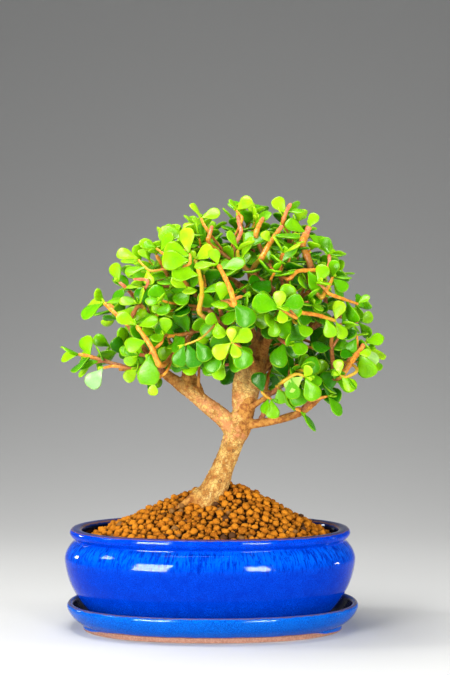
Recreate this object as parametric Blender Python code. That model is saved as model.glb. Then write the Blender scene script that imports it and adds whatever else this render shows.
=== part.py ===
# Money tree bonsai: a small leaning tree in a mound of baked clay grit, in an oval glazed pot on its saucer.
# Metres, +Z up. The origin is the centre of the saucer's flat base. The front of the tree looks along -Y.

import math
import random

import bmesh
import bpy
from mathutils import Matrix, Vector
from mathutils.bvhtree import BVHTree
from mathutils.geometry import delaunay_2d_cdt, interpolate_bezier

# Clearance that separate pieces keep where they meet
GAP = 0.0003

# Oval plan shared by the pot, its saucer and the grit: a slightly squared ellipse
OVAL_POWER = 2.25
OVAL_SIDES = 32

# Saucer: half sizes over the rim, then (inset from the rim, height) from the foot up and over to the floor
SAUCER_HALF_LENGTH = 0.1064
SAUCER_HALF_DEPTH = 0.0820
SAUCER_SHIFT = 0.0019
SAUCER_FLOOR = 0.0050
SAUCER_PROFILE = [
    (0.0118, 0.0000),
    (0.0114, 0.0034),
    (0.0092, 0.0046),
    (0.0042, 0.0088),
    (0.0010, 0.0134),
    (0.0000, 0.0168),
    (0.0016, 0.0188),
    (0.0042, 0.0182),
    (0.0062, 0.0140),
    (0.0104, 0.0080),
    (0.0170, SAUCER_FLOOR),
]

# Pot: half sizes over the belly, then (inset from it, height) up the outside, over the lip and down inside
POT_HALF_LENGTH = 0.1060
POT_HALF_DEPTH = 0.0810
POT_BASE = 0.0095
POT_FLOOR = 0.0155
POT_OUTSIDE = [
    (0.0220, POT_BASE),
    (0.0175, 0.0125),
    (0.0088, 0.0240),
    (0.0030, 0.0355),
    (0.0000, 0.0490),
    (0.0010, 0.0555),
    (0.0042, 0.0608),
    (0.0074, 0.0642),
]
POT_LIP = [
    (0.0048, 0.0668),
    (0.0036, 0.0696),
    (0.0052, 0.0722),
    (0.0105, 0.0724),
    (0.0128, 0.0702),
]
POT_INSIDE = [
    (0.0132, 0.0620),
    (0.0080, 0.0520),
    (0.0082, 0.0390),
    (0.0150, 0.0250),
    (0.0260, POT_FLOOR),
]
FOOT_RADIUS = 0.0090
FOOT_TAPER = 0.85
FOOT_SINK = 0.0015
FOOT_PLACE = (0.056, 0.036)
FOOT_SIDES = 10
DRAIN_RADIUS = 0.0070
DRAIN_OVERRUN = 0.0040
DRAIN_X = 0.036
DRAIN_SIDES = 14

# Drainage screens: square plastic mesh lying on the pot's floor over each hole
SCREEN_HOLES = 3
SCREEN_BAR = 0.0018
SCREEN_OPENING = 0.0062
SCREEN_THICKNESS = 0.0012

# Grit: fills the pot, level near the rim, and heaps up round the trunk
GRIT_EDGE = 0.0615
GRIT_PEAK = 0.1025
GRIT_PEAK_PLACE = (0.011, 0.010)
GRIT_ROUND_TOP = 0.16
GRIT_DIP_PLACE = (-0.006, -0.014)
GRIT_DIP_REACH = 0.018
GRIT_DIP_DEPTH = 0.0060
GRAIN_SPACING = 0.0143
GRAIN_HEIGHT = 0.0042
GRAIN_HEIGHTS = (0.70, 1.15)
GRAIN_SHIFT = 0.0016
GRAIN_REACH = 0.955

# Tree: (x, y, z, radius) along the trunk and each limb, from its root outwards
TRUNK_ROUNDNESS = 3
THICK_ROUNDNESS = 2
LIMB_ROUNDNESS = 1
THICK_LIMB = 0.0060
TRUNK = [
    (-0.0125, 0.0000, 0.0580, 0.0100),
    (-0.0085, 0.0000, 0.0740, 0.0125),
    (-0.0015, 0.0000, 0.0910, 0.0116),
    (0.0060, 0.0000, 0.1070, 0.0089),
    (0.0116, 0.0000, 0.1215, 0.0078),
    (0.0166, 0.0000, 0.1350, 0.0081),
    (0.0205, 0.0000, 0.1445, 0.0091),
    (0.0230, 0.0008, 0.1525, 0.0083),
    (0.0270, 0.0020, 0.1660, 0.0076),
    (0.0315, 0.0030, 0.1800, 0.0070),
    (0.0360, 0.0030, 0.1960, 0.0062),
    (0.0390, 0.0020, 0.2130, 0.0052),
    (0.0385, 0.0000, 0.2270, 0.0042),
    (0.0345, -0.0020, 0.2410, 0.0035),
    (0.0300, -0.0010, 0.2560, 0.0029),
    (0.0275, 0.0020, 0.2720, 0.0024),
]
LIMBS = {
    "left": [
        (0.0190, 0.0000, 0.1400, 0.0070),
        (0.0110, -0.0010, 0.1510, 0.0067),
        (0.0030, -0.0030, 0.1580, 0.0063),
        (-0.0080, -0.0060, 0.1670, 0.0056),
        (-0.0180, -0.0080, 0.1750, 0.0052),
        (-0.0280, -0.0100, 0.1820, 0.0040),
        (-0.0370, -0.0130, 0.1890, 0.0031),
        (-0.0440, -0.0160, 0.1970, 0.0025),
        (-0.0500, -0.0180, 0.2080, 0.0020),
    ],
    "left_rise": [
        (-0.0180, -0.0080, 0.1760, 0.0040),
        (-0.0170, -0.0070, 0.1880, 0.0034),
        (-0.0160, -0.0090, 0.2020, 0.0031),
        (-0.0150, -0.0130, 0.2170, 0.0027),
        (-0.0180, -0.0170, 0.2320, 0.0022),
        (-0.0230, -0.0190, 0.2450, 0.0019),
    ],
    "left_low": [
        (-0.0350, -0.0120, 0.1875, 0.0028),
        (-0.0460, -0.0140, 0.1895, 0.0022),
        (-0.0570, -0.0140, 0.1890, 0.0019),
        (-0.0660, -0.0130, 0.1890, 0.0018),
    ],
    "left_back": [
        (-0.0060, -0.0050, 0.1660, 0.0040),
        (-0.0110, 0.0080, 0.1780, 0.0034),
        (-0.0190, 0.0220, 0.1910, 0.0029),
        (-0.0300, 0.0360, 0.2050, 0.0024),
        (-0.0400, 0.0460, 0.2190, 0.0019),
    ],
    "right_low": [
        (0.0220, 0.0000, 0.1465, 0.0040),
        (0.0360, -0.0040, 0.1490, 0.0033),
        (0.0510, -0.0080, 0.1520, 0.0031),
        (0.0660, -0.0120, 0.1575, 0.0028),
        (0.0790, -0.0150, 0.1680, 0.0024),
        (0.0870, -0.0170, 0.1770, 0.0020),
    ],
    "right_thin": [
        (0.0250, 0.0000, 0.1570, 0.0030),
        (0.0370, -0.0130, 0.1660, 0.0020),
        (0.0490, -0.0200, 0.1750, 0.0017),
        (0.0580, -0.0260, 0.1810, 0.0015),
    ],
    "right_mid": [
        (0.0320, 0.0030, 0.1850, 0.0045),
        (0.0450, 0.0060, 0.1950, 0.0035),
        (0.0590, 0.0080, 0.2060, 0.0028),
        (0.0730, 0.0070, 0.2170, 0.0023),
        (0.0840, 0.0040, 0.2280, 0.0019),
    ],
    "right_back": [
        (0.0305, 0.0030, 0.1760, 0.0042),
        (0.0390, 0.0180, 0.1870, 0.0033),
        (0.0500, 0.0330, 0.1990, 0.0027),
        (0.0600, 0.0440, 0.2110, 0.0020),
    ],
    "back": [
        (0.0365, 0.0030, 0.1970, 0.0040),
        (0.0330, 0.0190, 0.2100, 0.0032),
        (0.0270, 0.0340, 0.2240, 0.0026),
        (0.0220, 0.0450, 0.2380, 0.0020),
    ],
    "front_right": [
        (0.0370, 0.0020, 0.2000, 0.0038),
        (0.0420, -0.0130, 0.2100, 0.0031),
        (0.0480, -0.0270, 0.2220, 0.0025),
        (0.0530, -0.0400, 0.2350, 0.0019),
    ],
    "front": [
        (0.0345, 0.0020, 0.1910, 0.0038),
        (0.0270, -0.0140, 0.1980, 0.0028),
        (0.0190, -0.0280, 0.2070, 0.0023),
        (0.0110, -0.0400, 0.2190, 0.0019),
    ],
    "top_right": [
        (0.0388, 0.0010, 0.2240, 0.0036),
        (0.0470, -0.0020, 0.2370, 0.0029),
        (0.0560, -0.0030, 0.2500, 0.0024),
        (0.0640, -0.0040, 0.2630, 0.0019),
    ],
    "top_left": [
        (0.0350, -0.0015, 0.2400, 0.0030),
        (0.0220, -0.0020, 0.2490, 0.0025),
        (0.0090, -0.0030, 0.2580, 0.0021),
        (-0.0030, -0.0030, 0.2680, 0.0018),
    ],
    "top_back": [
        (0.0310, -0.0010, 0.2530, 0.0026),
        (0.0350, 0.0140, 0.2610, 0.0022),
        (0.0390, 0.0260, 0.2690, 0.0018),
    ],
}

# Crown: an egg of leafy sprays. The tips round its outline, on its front and inside it are placed one by one.
CROWN_HEART = (0.010, 0.000, 0.222)
CROWN_RADII = (0.104, 0.086, 0.082)
OUTLINE_TIPS = [
    (-0.0935, -0.012, 0.1985),
    (-0.0770, -0.004, 0.2370),
    (-0.0515, 0.004, 0.2650),
    (-0.0290, -0.018, 0.2800),
    (-0.0080, 0.006, 0.2930),
    (0.0220, -0.006, 0.3010),
    (0.0560, 0.006, 0.3010),
    (0.0710, -0.012, 0.2830),
    (0.0880, 0.008, 0.2680),
    (0.1050, 0.002, 0.2345),
    (0.1140, -0.016, 0.2040),
]
FRONT_TIPS = [
    (0.0940, -0.040, 0.2220),
    (0.0920, -0.032, 0.1800),
    (0.0700, -0.046, 0.1860),
    (0.0150, -0.072, 0.2080),
    (0.0500, -0.078, 0.2360),
    (0.0080, -0.080, 0.2380),
    (-0.0220, -0.066, 0.2600),
    (0.0200, -0.064, 0.2740),
    (0.0520, -0.056, 0.2720),
    (-0.0490, -0.054, 0.2360),
    (-0.0500, -0.048, 0.2000),
    (-0.0310, -0.066, 0.2150),
    (0.0760, -0.056, 0.2510),
]
INNER_TIPS = [
    (0.0120, 0.046, 0.2550),
    (-0.0280, 0.070, 0.2000),
    (-0.0560, 0.040, 0.2540),
    (-0.0740, 0.018, 0.2040),
    (-0.0060, -0.046, 0.1960),
    (0.0760, -0.016, 0.2420),
    (-0.0380, -0.040, 0.2710),
    (-0.0200, 0.034, 0.2720),
    (0.0100, 0.072, 0.2380),
    (0.0670, 0.050, 0.2430),
    (0.0560, -0.058, 0.2080),
]
BACK_TIPS = 12
BACK_FLATTEN = 0.90
BACK_WIDTH = 0.85
LOWEST_TIP = 0.190
SEED = 11

# Twigs and leafy stems: each leaves the nearest fitting wood and curves out and up to its tip
THICKEST_HOST = 0.0048
HOST_SHARE = 0.9
EASY_REACH = 0.040
SHORT_COST = 3.0
TURN_COST = 0.5
STEM_SWAY = 0.25
STEM_START = 0.5
STEM_RISE = 0.35
STEM_PULL = 0.36
STEM_STEPS = 33
STEM_TRIES = 24
TIP_SHIFT = 0.0004
TWIG_LEAST = 0.0110
TWIG_RADIUS = (0.0021, 0.0016)
SPRAY_LENGTH = 0.0340
STEM_RADIUS = (0.0016, 0.0011)
SIDE_RADIUS = (0.0012, 0.0009)
SIDE_LENGTH = (0.0130, 0.0180)
SIDE_ANGLE = math.radians(44)
SIDE_BEND = 0.68
SIDE_OUTWARD = 0.25
SHOOTS = 1
NODE_SPACING = 0.0113
FIRST_NODE = 0.62
SPLICE = 0.0045
TIP_INSET = 0.0008

# Leaf: a fleshy blade, narrow at its root and round at its end
LEAF_LENGTH = 0.0180
LEAF_WIDTH = 0.0136
LEAF_THICKNESS = 0.0019
LEAF_WIDEST = 0.66
LEAF_WEDGE = 1.55
LEAF_ROUND = 2.4
LEAF_NECK = 0.10
LEAF_CROWN = 0.62
LEAF_SIDES = 7
LEAF_CUP = 0.10
LEAF_CURL = (-0.16, 0.08)
LEAF_SPREAD = (0.90, 1.08)
LEAF_ROOT_DEPTH = 0.5
LEAF_CLEARANCE = 0.0009

# Leaf pairs: size and lean from the stem, from the oldest pair to the one at the tip
OLD_PAIR = (1.00, 66)
STEM_PAIRS = [(0.98, 58), (0.80, 40)]
SIDE_PAIRS = [(0.92, 58), (0.74, 40)]
PAIR_GUIDE = (0.31, 0.17, 0.93)
PAIR_TWIST = 0.15
PAIR_SWING = 0.12
LEAF_TRIES = 7
TRY_SWING = 0.10
TRY_SHRINK = 0.05

# Leaf faces: low ones turn to the front or back, high ones to the sky
FACE_STEM = 0.45
FACE_OUT = 0.35
FACE_SIDE = 0.55
FACE_UP = (0.35, 0.75)
FACE_HEIGHTS = (0.205, 0.265)
FACE_SPREAD = 0.25

COLOURS = {
    "glaze": ((0.010, 0.070, 0.560), 0.12),
    "bark": ((0.500, 0.290, 0.110), 0.75),
    "leaf": ((0.170, 0.460, 0.030), 0.35),
    "grit": ((0.440, 0.190, 0.060), 0.90),
    "screen": ((0.020, 0.020, 0.020), 0.60),
}


# Scene housekeeping

def clear_scene():
    for obj in list(bpy.data.objects):
        bpy.data.objects.remove(obj, do_unlink=True)


def new_collection(name):
    collection = bpy.data.collections.new(name)
    bpy.context.scene.collection.children.link(collection)
    return collection


def make_material(name):
    colour, roughness = COLOURS[name]
    material = bpy.data.materials.new(name)
    material.use_nodes = True
    shader = material.node_tree.nodes["Principled BSDF"]
    shader.inputs["Base Color"].default_value = (*colour, 1.0)
    shader.inputs["Roughness"].default_value = roughness
    shader.inputs["Metallic"].default_value = 0.0
    material.diffuse_color = (*colour, 1.0)
    return material


def add_object(name, mesh, collection, material=None):
    obj = bpy.data.objects.new(name, mesh)
    collection.objects.link(obj)
    if material:
        mesh.materials.clear()
        mesh.materials.append(material)
    return obj


def apply_modifiers(obj):
    graph = bpy.context.evaluated_depsgraph_get()
    mesh = bpy.data.meshes.new_from_object(obj.evaluated_get(graph))
    spent = obj.data
    obj.modifiers.clear()
    obj.data = mesh
    bpy.data.meshes.remove(spent)


def finish_mesh(obj, material, sharp_degrees=40):
    obj.data.materials.clear()
    obj.data.materials.append(material)
    for polygon in obj.data.polygons:
        polygon.material_index = 0
    obj.data.shade_smooth()
    obj.data.set_sharp_from_angle(angle=math.radians(sharp_degrees))


def unite(obj, pieces, name):
    # Joins the pieces to obj with one union, and drops them
    helpers = new_collection(name)
    for piece in pieces:
        for home in list(piece.users_collection):
            home.objects.unlink(piece)
        helpers.objects.link(piece)
    union = obj.modifiers.new("Union", "BOOLEAN")
    union.operand_type = "COLLECTION"
    union.operation = "UNION"
    union.solver = "EXACT"
    union.collection = helpers
    apply_modifiers(obj)
    for piece in pieces:
        bpy.data.objects.remove(piece, do_unlink=True)
    bpy.data.collections.remove(helpers)


# Oval forms

def signed_power(value, power):
    return math.copysign(abs(value) ** power, value)


def oval_ring(half_length, half_depth, height):
    ring = []
    for i in range(OVAL_SIDES):
        angle = 2 * math.pi * i / OVAL_SIDES
        x = half_length * signed_power(math.cos(angle), 2 / OVAL_POWER)
        y = half_depth * signed_power(math.sin(angle), 2 / OVAL_POWER)
        ring.append(Vector((x, y, height)))
    return ring


def oval_reach(x, y, half_length, half_depth):
    # 0 at the middle of the oval, 1 on its edge
    power = OVAL_POWER
    return (abs(x / half_length) ** power + abs(y / half_depth) ** power) ** (1 / power)


def loft(name, rings, collection, close_first=True, close_last=True):
    bm = bmesh.new()
    rows = [[bm.verts.new(point) for point in ring] for ring in rings]
    for lower, upper in zip(rows, rows[1:]):
        for i in range(len(lower)):
            j = (i + 1) % len(lower)
            bm.faces.new((lower[i], lower[j], upper[j], upper[i]))
    if close_first:
        bm.faces.new(list(reversed(rows[0])))
    if close_last:
        bm.faces.new(rows[-1])
    bmesh.ops.recalc_face_normals(bm, faces=bm.faces)
    mesh = bpy.data.meshes.new(name)
    bm.to_mesh(mesh)
    bm.free()
    return add_object(name, mesh, collection)


def cylinder(name, radius, low, high, x, y, sides, collection, top_radius=None):
    bm = bmesh.new()
    bmesh.ops.create_cone(
        bm,
        cap_ends=True,
        segments=sides,
        radius1=radius,
        radius2=top_radius or radius,
        depth=high - low,
    )
    bmesh.ops.translate(bm, verts=bm.verts, vec=(x, y, (low + high) / 2))
    mesh = bpy.data.meshes.new(name)
    bm.to_mesh(mesh)
    bm.free()
    return add_object(name, mesh, collection)


def build_saucer(parts, glaze):
    rings = [
        oval_ring(SAUCER_HALF_LENGTH - inset, SAUCER_HALF_DEPTH - inset, height)
        for inset, height in SAUCER_PROFILE
    ]
    saucer = loft("saucer", rings, parts)
    saucer.location.x = SAUCER_SHIFT
    finish_mesh(saucer, glaze)


def build_pot(parts, cutters, glaze):
    profile = POT_OUTSIDE + POT_LIP + POT_INSIDE
    rings = [
        oval_ring(POT_HALF_LENGTH - inset, POT_HALF_DEPTH - inset, height)
        for inset, height in profile
    ]
    pot = loft("pot", rings, parts)
    foot_x, foot_y = FOOT_PLACE
    feet = [
        cylinder(
            "foot",
            FOOT_RADIUS * FOOT_TAPER,
            SAUCER_FLOOR + GAP,
            POT_BASE + FOOT_SINK,
            side_x * foot_x,
            side_y * foot_y,
            FOOT_SIDES,
            parts,
            top_radius=FOOT_RADIUS,
        )
        for side_x in (-1, 1)
        for side_y in (-1, 1)
    ]
    unite(pot, feet, "feet")
    for side in (-1, 1):
        drill = cylinder(
            "drain_drill",
            DRAIN_RADIUS,
            POT_BASE - DRAIN_OVERRUN,
            POT_FLOOR + DRAIN_OVERRUN,
            side * DRAIN_X,
            0,
            DRAIN_SIDES,
            cutters,
        )
        drill.hide_render = True
        drill.display_type = "WIRE"
        cut = pot.modifiers.new("Drain hole", "BOOLEAN")
        cut.operation = "DIFFERENCE"
        cut.solver = "EXACT"
        cut.object = drill
    finish_mesh(pot, glaze)


def square(curve, x, y, side):
    spline = curve.splines.new("POLY")
    spline.points.add(3)
    spline.use_cyclic_u = True
    for point, (right, up) in zip(spline.points, ((-1, -1), (1, -1), (1, 1), (-1, 1))):
        point.co = (x + right * side / 2, y + up * side / 2, 0, 1)


def build_screens(parts, plastic):
    pitch = SCREEN_OPENING + SCREEN_BAR
    middle = (SCREEN_HOLES - 1) / 2
    for side, name in ((-1, "drain_screen_left"), (1, "drain_screen_right")):
        curve = bpy.data.curves.new(name, "CURVE")
        curve.dimensions = "2D"
        curve.fill_mode = "BOTH"
        curve.extrude = SCREEN_THICKNESS / 2
        square(curve, 0, 0, SCREEN_HOLES * pitch + SCREEN_BAR)
        for row in range(SCREEN_HOLES):
            for column in range(SCREEN_HOLES):
                square(curve, (column - middle) * pitch, (row - middle) * pitch, SCREEN_OPENING)
        screen = add_object(name, curve, parts, plastic)
        screen.location = (side * DRAIN_X, 0, POT_FLOOR + GAP + SCREEN_THICKNESS / 2)


# Grit

def grit_height(x, y):
    half_length = POT_HALF_LENGTH - POT_INSIDE[0][0]
    half_depth = POT_HALF_DEPTH - POT_INSIDE[0][0]
    peak_x, peak_y = GRIT_PEAK_PLACE
    inward = max(0.0, 1 - oval_reach(x, y, half_length, half_depth))
    reach = oval_reach(x - peak_x * inward, y - peak_y * inward, half_length, half_depth)
    reach = min(1.0, reach)
    top = GRIT_ROUND_TOP
    fall = (math.hypot(reach, top) - top) / (math.hypot(1, top) - top)
    dip_x, dip_y = GRIT_DIP_PLACE
    near = math.hypot(x - dip_x, y - dip_y) / GRIT_DIP_REACH
    dip = GRIT_DIP_DEPTH * math.exp(-near * near)
    return GRIT_PEAK + (GRIT_EDGE - GRIT_PEAK) * fall - dip


def inside_reach(height):
    # Inset of the pot's inner wall at a height, from its profile
    walls = [POT_LIP[-1]] + POT_INSIDE
    for (inset_a, high), (inset_b, low) in zip(walls, walls[1:]):
        if low <= height <= high:
            share = (high - height) / (high - low)
            return inset_a + (inset_b - inset_a) * share
    return walls[-1][0]


def build_grit(parts, cutters, grit, trunk_bore):
    # Grains on a shifted honeycomb: raised middles, with the low points between them at the comb's corners
    draw = random.Random(SEED)
    wall_gap = 2 * GAP
    edge_inset = inside_reach(GRIT_EDGE) + wall_gap
    rim = oval_ring(POT_HALF_LENGTH - edge_inset, POT_HALF_DEPTH - edge_inset, GRIT_EDGE)
    half_length = POT_HALF_LENGTH - edge_inset
    half_depth = POT_HALF_DEPTH - edge_inset
    points = list(rim)
    row_height = GRAIN_SPACING * math.sqrt(3) / 2
    rows = int(half_depth / row_height) + 1
    columns = int(half_length / GRAIN_SPACING) + 1
    for row in range(-rows, rows + 1):
        for column in range(-columns, columns + 1):
            x = (column + 0.5 * (row % 2)) * GRAIN_SPACING
            y = row * row_height
            for dx, dy, lift in (
                (0, 0, GRAIN_HEIGHT),
                (0, GRAIN_SPACING / math.sqrt(3), 0),
                (0, -GRAIN_SPACING / math.sqrt(3), 0),
            ):
                px = x + dx + draw.uniform(-1, 1) * GRAIN_SHIFT
                py = y + dy + draw.uniform(-1, 1) * GRAIN_SHIFT
                high = lift * draw.uniform(*GRAIN_HEIGHTS)
                if oval_reach(px, py, half_length, half_depth) < GRAIN_REACH:
                    points.append(Vector((px, py, grit_height(px, py) + high)))
    flat = [point.to_2d() for point in points]
    edges = [(i, (i + 1) % len(rim)) for i in range(len(rim))]
    _, _, triangles, origins, _, _ = delaunay_2d_cdt(flat, edges, [], 1, 1e-6)
    bm = bmesh.new()
    top = [bm.verts.new(points[origin[0]]) for origin in origins]
    for triangle in triangles:
        bm.faces.new([top[i] for i in triangle])
    above = [vert for vert, origin in zip(top, origins) if origin[0] < len(rim)]
    above.sort(key=lambda vert: math.atan2(vert.co.y, vert.co.x) % (2 * math.pi))
    floor = POT_FLOOR + SCREEN_THICKNESS + 2 * GAP
    walls = [height for _, height in POT_INSIDE if floor < height < GRIT_EDGE]
    for height in walls + [floor]:
        inset = inside_reach(height) + wall_gap
        ring = [
            bm.verts.new(point)
            for point in oval_ring(POT_HALF_LENGTH - inset, POT_HALF_DEPTH - inset, height)
        ]
        for i in range(len(ring)):
            j = (i + 1) % len(ring)
            bm.faces.new((above[i], above[j], ring[j], ring[i]))
        above = ring
    bm.faces.new(above)
    bmesh.ops.recalc_face_normals(bm, faces=bm.faces)
    mesh = bpy.data.meshes.new("grit")
    bm.to_mesh(mesh)
    bm.free()
    body = add_object("grit", mesh, parts, grit)
    for home in list(trunk_bore.users_collection):
        home.objects.unlink(trunk_bore)
    cutters.objects.link(trunk_bore)
    trunk_bore.hide_render = True
    trunk_bore.display_type = "WIRE"
    cut = body.modifiers.new("Trunk hole", "BOOLEAN")
    cut.operation = "DIFFERENCE"
    cut.solver = "EXACT"
    cut.object = trunk_bore
    finish_mesh(body, grit, sharp_degrees=12)


# Wood and stems

def tube(name, points, radii, collection, setting=0):
    curve = bpy.data.curves.new(name, "CURVE")
    curve.dimensions = "3D"
    curve.bevel_depth = 1.0
    curve.bevel_resolution = setting
    curve.use_fill_caps = True
    spline = curve.splines.new("POLY")
    spline.points.add(len(points) - 1)
    for target, point, radius in zip(spline.points, points, radii):
        target.co = (*point, 1.0)
        target.radius = radius
    source = bpy.data.objects.new("curve", curve)
    collection.objects.link(source)
    graph = bpy.context.evaluated_depsgraph_get()
    mesh = bpy.data.meshes.new_from_object(source.evaluated_get(graph))
    bm = bmesh.new()
    bm.from_mesh(mesh)
    bmesh.ops.remove_doubles(bm, verts=bm.verts, dist=1e-6)
    bmesh.ops.recalc_face_normals(bm, faces=bm.faces)
    bm.to_mesh(mesh)
    bm.free()
    obj = add_object(name, mesh, collection)
    obj.matrix_world = source.matrix_world
    bpy.data.objects.remove(source, do_unlink=True)
    bpy.data.curves.remove(curve)
    return obj


def split_path(path):
    return [Vector(point[:3]) for point in path], [point[3] for point in path]


def distances(points):
    total = [0.0]
    for a, b in zip(points, points[1:]):
        total.append(total[-1] + (b - a).length)
    return total


def point_at(points, lengths, where):
    where = max(0.0, min(where, lengths[-1]))
    for i in range(len(points) - 1):
        if where <= lengths[i + 1]:
            span = lengths[i + 1] - lengths[i]
            return points[i].lerp(points[i + 1], (where - lengths[i]) / span)
    return points[-1].copy()


# Clearance tests, on simple meshes a little larger than the pieces themselves

def tube_tree(points, radii, grow):
    sides = 6
    verts, faces = [], []
    for i, (point, radius) in enumerate(zip(points, radii)):
        ahead = points[min(i + 1, len(points) - 1)] - points[max(i - 1, 0)]
        across = ahead.orthogonal().normalized()
        beside = ahead.normalized().cross(across)
        for k in range(sides):
            angle = 2 * math.pi * k / sides
            offset = across * math.cos(angle) + beside * math.sin(angle)
            verts.append(point + offset * (radius + grow))
        if i:
            low = (i - 1) * sides
            for k in range(sides):
                j = (k + 1) % sides
                faces.append((low + k, low + j, low + sides + j, low + sides + k))
    return BVHTree.FromPolygons(verts, faces)


class Obstacle:
    def __init__(self, tree, points, reach, owner):
        low = Vector([min(p[i] for p in points) for i in range(3)])
        high = Vector([max(p[i] for p in points) for i in range(3)])
        self.centre = (low + high) / 2
        self.reach = (high - low).length / 2 + reach
        self.tree = tree
        self.owner = owner


def clear_of(candidate, obstacles, skip=()):
    for other in obstacles:
        if other.owner in skip:
            continue
        apart = (candidate.centre - other.centre).length
        if apart < candidate.reach + other.reach and candidate.tree.overlap(other.tree):
            return False
    return True


def tube_obstacle(points, radii, owner, grow=0.0):
    return Obstacle(tube_tree(points, radii, grow), points, max(radii) + grow, owner)


# Leaves

def half_width(share):
    # Outline of the blade: a wedge up to its widest place, round beyond it
    if share <= LEAF_WIDEST:
        rise = (share / LEAF_WIDEST) ** LEAF_WEDGE
        return LEAF_NECK + (1 - LEAF_NECK) * math.sin(math.pi / 2 * rise)
    beyond = (share - LEAF_WIDEST) / (1 - LEAF_WIDEST)
    return max(0.0, 1 - beyond**LEAF_ROUND) ** (1 / LEAF_ROUND)


def leaf_body(leaf, grow=0.0):
    # A ball of few sides: its equator is drawn out to the blade's outline, its poles give the thickness
    bm = bmesh.new()
    bmesh.ops.create_uvsphere(bm, u_segments=LEAF_SIDES, v_segments=2, radius=1.0)
    rim = [vert for vert in bm.verts if abs(vert.co.z) < 0.5]
    start = math.atan2(rim[0].co.y, rim[0].co.x)
    longest = (1 + math.cos(math.pi / LEAF_SIDES)) / 2
    for vert in bm.verts:
        angle = math.atan2(vert.co.y, vert.co.x) - start
        share = LEAF_CROWN if vert not in rim else (1 - math.cos(angle)) / 2
        across = 0.0 if vert not in rim else math.copysign(half_width(share), math.sin(angle))
        if abs(math.sin(angle)) < 1e-4:
            across = 0.0
        lift = LEAF_CUP * across * across * (1 - share) + leaf["curl"] * share * share
        spot = Vector((share / longest, across, vert.co.z))
        spot.x = leaf["start"] + spot.x * (leaf["length"] + grow)
        spot.y *= leaf["width"] / 2 + grow
        spot.z = spot.z * (LEAF_THICKNESS / 2 + grow) + lift * leaf["length"]
        vert.co = leaf["place"] @ spot
    return bm


def leaf_obstacle(leaf, owner, grow):
    bm = leaf_body(leaf, grow)
    points = [vert.co.copy() for vert in bm.verts]
    tree = BVHTree.FromBMesh(bm)
    bm.free()
    return Obstacle(tree, points, 0.0, owner)


def leaf_place(root, along, normal):
    along = along.normalized()
    normal = (normal - along * normal.dot(along)).normalized()
    side = normal.cross(along)
    place = Matrix((along, side, normal)).transposed().to_4x4()
    place.translation = root
    return place


# Growth: every spray is a twig's end carrying leaves in crossed pairs, with a side shoot or two

def host_points():
    hosts = []
    for path in [TRUNK] + list(LIMBS.values()):
        points, radii = split_path(path)
        for i in range(1, len(points)):
            for share in (0.5, 1.0):
                radius = radii[i - 1] + (radii[i] - radii[i - 1]) * share
                if radius <= THICKEST_HOST:
                    ahead = (points[i] - points[i - 1]).normalized()
                    hosts.append((points[i - 1].lerp(points[i], share), ahead, radius))
    return hosts


def nearest_host(tip, hosts):
    def cost(host):
        reach = tip - host[0]
        turn = 1 - host[1].dot(reach.normalized())
        short = max(0.0, EASY_REACH - reach.length)
        return reach.length * (1 + TURN_COST * turn) + SHORT_COST * short

    return min(hosts, key=cost)


def all_tips():
    heart, radii = Vector(CROWN_HEART), Vector(CROWN_RADII)
    tips = [Vector(tip) for tip in OUTLINE_TIPS + FRONT_TIPS + INNER_TIPS]
    golden = math.pi * (3 - math.sqrt(5))
    for i in range(BACK_TIPS):
        depth = 1 - BACK_FLATTEN * (i + 0.5) / BACK_TIPS
        ring = math.sqrt(1 - depth * depth)
        aim = Vector((ring * math.cos(i * golden), depth, ring * math.sin(i * golden)))
        tip = heart + Vector((aim.x * radii.x * BACK_WIDTH, aim.y * radii.y, aim.z * radii.z))
        tip.z = max(tip.z, LOWEST_TIP)
        tips.append(tip)
    return tips


def outward(point):
    heart, radii = Vector(CROWN_HEART), Vector(CROWN_RADII)
    reach = point - heart
    return Vector((reach.x / radii.x, reach.y / radii.y, reach.z / radii.z)).normalized()


def random_vector(draw):
    return Vector([draw.uniform(-1, 1) for _ in range(3)])


def grow_path(tip, host, draw):
    start, ahead, _ = host
    reach = tip - start
    sway = random_vector(draw) * STEM_SWAY
    leave = (ahead * STEM_START + reach.normalized() + sway).normalized()
    arrive = (outward(tip) + Vector((0, 0, STEM_RISE)) + sway).normalized()
    pull = STEM_PULL * reach.length
    curve = interpolate_bezier(start, start + leave * pull, tip - arrive * pull, tip, STEM_STEPS)
    return [Vector(point) for point in curve]


def divide_path(path):
    # Splits a path into the bare twig and the leafy stem, butted on one straight stretch
    lengths = distances(path)
    spray = min(SPRAY_LENGTH, lengths[-1] - TWIG_LEAST)
    cut = lengths[-1] - spray
    nodes = max(2, round(spray / NODE_SPACING))
    step = spray / nodes
    bends = [point_at(path, lengths, cut + step * (i + 1.5)) for i in range(nodes - 1)]
    before = point_at(path, lengths, cut - SPLICE)
    ahead = (bends[0] - before).normalized()
    joint = before + ahead * SPLICE
    twig = [path[0], before, joint - ahead * GAP / 2]
    return twig, [joint + ahead * GAP / 2] + bends + [path[-1]]


def taper(count, ends):
    return [ends[0] + (ends[1] - ends[0]) * i / (count - 1) for i in range(count)]


def room_for(twig, stem, number, obstacles):
    # The stem keeps clear of all that stands so far, the twig only of other sprays: it may run into wood
    start = tube_obstacle(stem[0][:2], stem[1][:2], number, GAP)
    free = tube_obstacle(stem[0][1:], stem[1][1:], number, LEAF_CLEARANCE)
    wood = tube_obstacle(*twig, "wood", GAP)
    return (
        clear_of(start, obstacles)
        and clear_of(free, obstacles)
        and clear_of(wood, obstacles, {"wood"})
    )


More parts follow.
